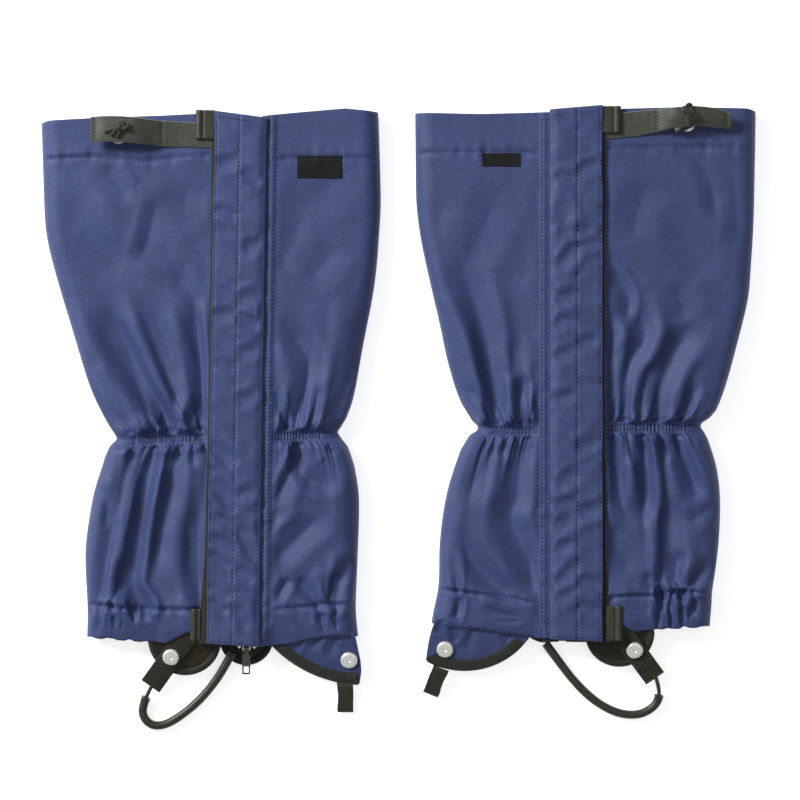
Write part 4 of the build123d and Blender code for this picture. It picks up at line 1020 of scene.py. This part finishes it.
def zip_teeth(g):
    """Two rows of interlocking moulded teeth."""
    parts = []
    first, length, pitch = 1.4, 388, 2.5
    base = np.array([(0.0, -0.62), (1.5, -0.5), (2.5, -0.95), (3.3, -0.85), (3.7, 0), (3.3, 0.85), (2.5, 0.95),
                     (1.5, 0.5), (0.0, 0.62)])
    for side in (-1, 1):
        for k in range(int(length / pitch)):
            y = first + k * pitch + (pitch / 2 if side > 0 else 0)
            outline = np.stack([side * (2.75 - base[:, 0]), y + base[:, 1] * side], -1)
            n = len(outline)
            verts = []
            for z, shrink in ((17.5, 0.9), (17.9, 1.0), (19.2, 1.0), (19.65, 0.82)):
                middle = outline.mean(0)
                u, v = closure(g, *(middle + (outline - middle) * shrink).T)
                verts.append(np.stack([u, v, z + 0 * u], -1))
            faces = [list(range(n))[::-1], [3 * n + i for i in range(n)], *ring_faces(4, n)]
            parts.append((np.concatenate(verts), faces))
    teeth = make("zip_teeth", g, *join_data(parts), teeth_paint.made, body="gaiter", flat=True)
    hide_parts(f"{g.name}_zip_teeth")
    # the two bright ends of the zip's bottom stop
    parts = []
    for x in (-g.zip_end[0], g.zip_end[0]):
        u, y = closure(g, x, g.zip_end[1])
        line = [(u, y + 3.2, 19.2), (u, y + 1.2, 19.4), (u, y - 0.6, 19.4), (u, y - 1.3, 19.1)]
        parts.append(tube_data(curved(line, 5), [0.7] + [1.15] * 13 + [0.95, 0.5], 14))
    ends = make("zip_ends", g, *join_data(parts), metal.made, body="gaiter")


def strap(g):
    us = spread(g.strap[0][0], g.strap[-1][0], 0.8, 0.6)

    def width(u, soft=2.5):
        """Y of the strap's middle, and half its width."""
        return [through([(row[0], row[k]) for row in g.strap], u, soft) for k in (1, 2)]

    def place(u, s):
        middle, half = width(u)
        corner = 1 - 0.12 * smooth((u - us[-1] + 1.6) / 1.6) * np.abs(s) ** 6
        return u - (1 - corner) * 4, middle + half * s

    def height(u, s):
        z = through(g.strap_rise, u, 3.0) - 0.9
        lift = smooth((u - g.strap_rise[2][0]) / 16)
        z = z - g.strap_tilt * 9 * s * lift
        z = z + 0.5 * lift * np.cos(s * 2.2) * smooth((us[-1] - u) / 12)
        dents = sum(0.5 * bell(u - at - 0.6, 1.3) for at in g.strap_stitches)
        return z - dents + 0.3 * rough(u, s * 9, 12, 71)

    piece = strip("strap", g, us, spread(-1, 1, 0.09, 0.06), place, height, STRAP_THICK, coated.made,
                  lip=0.06, edge=cut_edge.made)
    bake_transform(piece)
    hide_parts(f"{g.name}_strap_base", f"{g.name}_strap_tab")

    def on_strap(u0, y0):
        middle, half = width(u0)
        return height(u0, (y0 - middle) / half) + STRAP_THICK

    for n, (u0, body) in enumerate(zip(g.strap_stitches, ("gaiter", "strap"))):
        middle, half = width(u0, 0)
        rows = [[(u, middle - half * 0.86), (u, middle + half * 0.86)] for u in (u0, u0 + 1.3)]
        seam = stitches(f"strap_seam_{n}", g, rows, on_strap, black_thread.made, body, pitch=2.4, long=1.8,
                        wide=0.95, proud=0.4)


def drawcord(g):
    """Cord inside the top hem, its two strands up through eyelet and lock, the knot and its tails."""
    u, y = g.lock
    turn = math.radians(g.lock_angle)
    side = np.array([-math.sin(turn), math.cos(turn)]) * 1.6
    front_z, back_z = 16.4, 3.2         # of the cord in the two halves of the hem
    parts = []
    for sign in (-1, 1):
        a = np.array([u, y]) + sign * side
        run = [(a[0] + sign * 14, g.cord_y, front_z), (a[0] + sign * 5, g.cord_y, front_z + 0.2),
               *[(*a, z) for z in (19, 23, 27, 30.5)]]
        parts.append(tube_data(curved(run, 8), HEM_CORD, 12))
    inner_u = float(through(g.inner, g.cord_y)) + 9
    outer_u = float(through(g.outer, g.cord_y)) - 9
    for low, high in ((inner_u, zip_u(g, g.cord_y) - 18), (zip_u(g, g.cord_y) + 10, outer_u)):
        run = [(k, g.cord_y + 0.4 * math.sin(k / 9), front_z) for k in np.linspace(low, high, 30)]
        parts.append(tube_data(run, HEM_CORD))
    run = [(k, g.cord_y, back_z) for k in np.linspace(inner_u, outer_u, 40)]
    parts.append(tube_data(run, HEM_CORD))
    piece = make("drawcord", g, *join_data(parts), cord_paint.made)
    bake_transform(piece)
    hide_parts(f"{g.name}_drawcord")

    ku, ky = g.knot
    t = np.linspace(0, 2 * math.pi, 90)
    size, spin, knot_z = 1.3, 0.6, 34.2
    # a trefoil, turned by spin in the plan
    kx = size * (np.sin(t) + 2 * np.sin(2 * t))
    ky_in = size * (np.cos(t) - 2 * np.cos(2 * t))
    trefoil = [ku + kx * math.cos(spin) - ky_in * math.sin(spin),
               ky + kx * math.sin(spin) + ky_in * math.cos(spin), 34.1 - 0.95 * np.sin(3 * t)]
    parts = [tube_data(np.stack(trefoil, -1), 1.4, 12)]
    for sign, (tu, ty) in zip((-1, 1), g.tails):
        a = np.array([u, y]) + sign * side
        rise = [(*a, 29.6), (*a, 32), ((a[0] + ku) / 2, (a[1] + ky) / 2, 33.6), (ku, ky, knot_z)]
        parts.append(tube_data(curved(rise, 6), 1.4))
        tail = [(ku, ky, knot_z), ((2 * ku + tu) / 3 + sign, (2 * ky + ty) / 3, 34.8),
                ((ku + 2 * tu) / 3, (ky + 2 * ty) / 3, 33.9), (tu, ty, 33.1)]
        parts.append(tube_data(curved(tail, 7), 1.35))
    knot = make("drawcord_knot", g, *join_data(parts), cord_paint.made, body="strap")
    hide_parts(f"{g.name}_drawcord_knot")


def lock_spring(g):
    """The wire spring behind the lock's button."""
    u, y = g.lock
    turn = math.radians(g.lock_angle)
    start, length, radius, turns, middle_z = -8.5, 3.4, 2.35, 4, 25.3
    t = np.linspace(0, 1, 97)
    along = start + length * t
    across, up = radius * np.cos(2 * math.pi * turns * t), radius * np.sin(2 * math.pi * turns * t)
    line = np.stack([u + along * math.cos(turn) - across * math.sin(turn),
                     y + along * math.sin(turn) + across * math.cos(turn), middle_z + up], -1)
    spring = make("cord_lock_spring", g, *tube_data(line, 0.28, 8), slider_paint.made, body="gaiter")
    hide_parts(f"{g.name}_cord_lock_spring")
    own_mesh(spring)


# ---- pieces that hang from the bottom hem ----

def circle_through(points):
    (ax, ay), (bx, by), (cx, cy) = points
    d = 2 * (ax * (by - cy) + bx * (cy - ay) + cx * (ay - by))
    a, b, c = ax * ax + ay * ay, bx * bx + by * by, cx * cx + cy * cy
    x = (a * (by - cy) + b * (cy - ay) + c * (ay - by)) / d
    y = (a * (cx - bx) + b * (ax - cx) + c * (bx - ax)) / d
    return x, y, math.hypot(ax - x, ay - y)


def tongue(g):
    cx, cy, radius = circle_through(g.tongue_edge)
    low_u, high_u = g.tongue_u

    def lower(u):
        sign = -1 if cy > g.tongue_edge[1][1] else 1
        y = cy + sign * np.sqrt(np.maximum(radius ** 2 - (u - cx) ** 2, 0))
        return y + 2.4 * (1 - quarter((u - low_u) / 2.4))

    def drape(y):
        return DRAPE_Z + (y - g.tongue_y) * SLOPE + 1.25

    def plane(u, y):
        z = drape(y)
        for a, b in g.tongue_folds:
            z = z - crease(u, y, 1.1, 2.2, 2.6, "10", [a, b])
        z = z + 0.35 * rough(u, y, 12, 81) * smooth((y - lower(u)) / 9)
        return z - 1.5 * bell(u - low_u, 5) * smooth((y + 188) / 20)

    def settle(u, y):
        """The inner edge isn't straight: it carries on the line of the side above it."""
        return u + (through(g.tongue_side, y, 1.5) - low_u) * np.clip(1 - (u - low_u) / 25, 0, 1)

    u, t = np.meshgrid(spread(low_u, high_u, 0.9, 0.6), spread(0, 1, 0.022, 0.01))
    y = lower(u) + 0.6 + (g.tongue_top - lower(u) - 0.6) * t
    u = settle(u, y)
    top = np.stack([u, y, plane(u, y)], -1)
    under = top - (0, 0, 1.0)
    piece = make("lace_tongue", g, layers(top, under), slab_faces(*u.shape), fabric.made, body="gaiter")
    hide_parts(f"{g.name}_lace_tongue")

    # binding round its lower edge
    us = np.linspace(low_u + 0.05, high_u + 1, 110)
    edge = np.stack([us, lower(us)], -1)
    along = unit(np.gradient(edge, axis=0))
    inward = np.stack([-along[:, 1], along[:, 0]], -1)
    inward[:, 1] = np.abs(inward[:, 1])
    profile = [(8.4, 0.0), (8.3, 0.35), (7.9, 0.62), (5, 0.78), (3, 0.85), (1.2, 0.75), (0.2, 0.35),
               (-0.5, -0.5), (0.2, -1.4), (3, -1.6), (7.2, -1.35), (7.5, -1.0)]
    grid = []
    for n, (reach, lift) in enumerate(profile):
        wander = 0.25 * rough(us, us * 0 + n, 8, 82) * (n < 3)
        p = edge + inward * (reach + wander)[:, None]
        p[:, 0] = settle(np.maximum(p[:, 0], low_u - 0.15), p[:, 1])
        z = drape(p[:, 1]) + lift + 0.12 * rough(us, us * 0, 7, 83) - 0.9 * smooth((us - high_u + 10) / 9)
        grid.append(np.concatenate([p, z[:, None]], 1))
    grid.append(grid[0])
    grid = np.stack(grid)               # profile x along
    count = len(us)
    faces = [f[::-1] for f in grid_faces(len(grid), count)]
    faces += [[k * count for k in range(len(profile))], [k * count - 1 for k in range(len(profile), 0, -1)]]
    band = make("tongue_binding", g, grid.reshape(-1, 3), faces, binding.made, body="gaiter")
    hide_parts(f"{g.name}_edge_bindings")
    seam = edge + inward * 7.1
    row = stitches("binding_seam", g, [seam[seam[:, 0] < high_u - 3]], lambda u, y: drape(y) + 0.72,
                   black_thread.made, "gaiter", pitch=2.4, wide=0.45)


def lobe(g, name, circle, base, slope, top_cut):
    """A rounded patch with a bound edge, cut off where it goes in under the hem."""
    *centre, radius = circle
    band = 4                            # width of the binding
    inner = 12                          # rings in the patch itself. The others are its binding
    edge = [(band, 0), (band - 0.2, 0.35), (band * 0.8, 0.62), (band * 0.45, 0.75), (0.7, 0.6), (0.15, 0.2),
            (-0.1, -0.4), (0.15, -1.1), (band, -1.2)]
    rings = [*(radius * 0.82 * np.linspace(0, 1, inner)), *[radius - inset for inset, _ in edge]]
    lifts = np.array([0] * inner + [lift for _, lift in edge])[:, None]
    angles = [math.pi - 0.35, math.pi - 0.18, *np.linspace(math.pi, 2 * math.pi, 73), 0.18, 0.35]
    r, a = np.meshgrid(rings, angles, indexing="ij")
    u, v = centre[0] + r * np.cos(a), centre[1] + np.minimum(r * np.sin(a), top_cut)
    uneven = np.where(np.arange(len(rings))[:, None] < inner, 0.275 * rough(u, v, 9, 91), 0)
    z = base + (v - centre[1]) * slope + lifts + uneven - 0.36 * bell(r - radius * 0.62, 1.6)
    faces = grid_faces(*r.shape)
    index = [int(k // (len(angles) - 1) >= inner - 1) for k in range(len(faces))]
    piece = make(name, g, np.stack([u, v, z], -1).reshape(-1, 3), faces, patch_paint.made, binding.made,
                 body="gaiter", rim=index)
    thick = piece.modifiers.new("cloth", "SOLIDIFY")
    thick.thickness = 0.4 * MM
    thick.offset = -1
    # cut with 5 mm of binding to turn under
    return piece


def webbing(g):
    (u0, y0), (u1, y1) = g.webbing
    length = math.dist(*g.webbing)
    ax, ay = (u1 - u0) / length, (y1 - y0) / length
    half = 8.25

    def place(s, t):
        return u0 + ax * t - ay * s, y0 + ay * t + ax * s

    def height(s, t):
        z = DRAPE_Z + (place(s, t)[1] - g.hem_y) * SLOPE + 1.35
        ribs = 0.6 * np.abs(np.sin(math.pi * t / 2.3))
        seams = -0.35 * bell(t - length + 5.5, 0.8) - 0.35 * bell(t - 6, 0.8)
        return z + ribs + seams + 0.25 * rough(s, t, 8, 95) - 0.35 * (np.abs(s) / half) ** 4

    xs, ts = spread(-half, half, 0.6, 0.7), spread(-3, length + 3, 0.42, 0.7)
    piece = strip("instep_webbing", g, xs, ts, place, height, 1.9, webbing_paint.made, body="gaiter", lip=0.7)
    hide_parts(f"{g.name}_instep_webbing")

    def on_web(u, y):
        du, dy = u - u0, y - y0
        return height(-ay * du + ax * dy, ax * du + ay * dy) + 1.9

    rows = [[place(-6.8, t), place(6.8, t)] for t in (length - 3.4, length - 8.0, 8.5)]
    rows += [[place(s, length - 3.4), place(s, length - 8.0)] for s in (-6.8, 6.8)]
    seam = stitches("webbing_seam", g, rows, on_web, black_thread.made, "gaiter", pitch=1.8, long=1.5,
                    wide=0.6, proud=0.3)


def pull_loop(g):
    """A folded loop of tape at the tongue's corner."""
    u0, y0, z0 = g.loop_start
    turn, drop = math.radians(g.loop_turn), math.radians(g.loop_drop)
    # its outside, out along the top and back below, 1 mm thick
    line = np.array([(-4, 1.4), (0, 1.5), (5, 1.75), (10, 1.9), (15, 1.8), (17.6, 1.5), (18.7, 0.9), (19, 0),
                     (18.7, -0.7), (17.6, -1), (12, -1.1), (5, -1.1), (0, -1.1), (-4, -1.1)])
    steps = np.gradient(line, axis=0)
    inside = line - unit(np.stack([-steps[:, 1], steps[:, 0]], -1))

    def at(x, s, h):
        out = s * math.cos(drop)
        wave = 0.4 * rough(x * 0.5, s + 0 * x, 6, 97)
        z = z0 - s * math.sin(drop) + h + wave
        x = x * (1 - 0.04 * np.sin(s / 6)) + 0.35 * rough(s, x * 0, 5, 98)
        return np.stack([u0 + x * math.cos(turn) + out * math.sin(turn),
                         y0 - out * math.cos(turn) + x * math.sin(turn), np.maximum(z, 0.4)], -1)

    x, k = np.meshgrid(spread(-6, 6, 0.7, 0.5), np.arange(len(line)))
    outer_grid = at(x, line[k, 0], line[k, 1] + 0.3)
    inner_grid = at(x, inside[k, 0], inside[k, 1] + 0.3)
    faces = [f[::-1] for f in slab_faces(*x.shape)]
    piece = make("pull_loop", g, layers(outer_grid, inner_grid), faces, webbing_paint.made, body="tongue_loop")
    rework(piece.data, lambda work: bmesh.ops.recalc_face_normals(work, faces=work.faces))
    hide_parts(f"{g.name}_pull_loop")


# the CAD pieces that show as they are: paint and slot
CAD_LOOKS = {
    "rivets": (metal, "rivet_metal"), "lace_hook": (metal, "rivet_metal"), "hem_eyelet": (metal, "rivet_metal"),
    "zip_slider": (slider_paint, "slider_metal"), "zip_pull": (pull_paint, "slider_metal"),
    "cord_lock_barrel": (plastic, "lock_plastic"), "cord_lock_plunger": (button, "lock_plastic"),
}

for g in (LEFT, RIGHT):
    instep(g)
    shell(g)
    shell_stitches(g)
    flap(g)
    tapes(g)
    zip_teeth(g)
    strap(g)
    drawcord(g)
    lock_spring(g)
    tongue(g)
    front_lobe = lobe(g, "front_patch", g.lobe_a, DRAPE_Z + 0.9, SLOPE, 2)
    lobe(g, "rear_patch", g.lobe_b, 2.2, 0, 4)
    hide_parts(f"{g.name}_instep_patches")
    webbing(g)
    pull_loop(g)
    for part, (paint, slot) in CAD_LOOKS.items():
        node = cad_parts[f"{g.name}_{part}"]
        node.data.materials.clear()
        node.data.materials.append(paint.made)
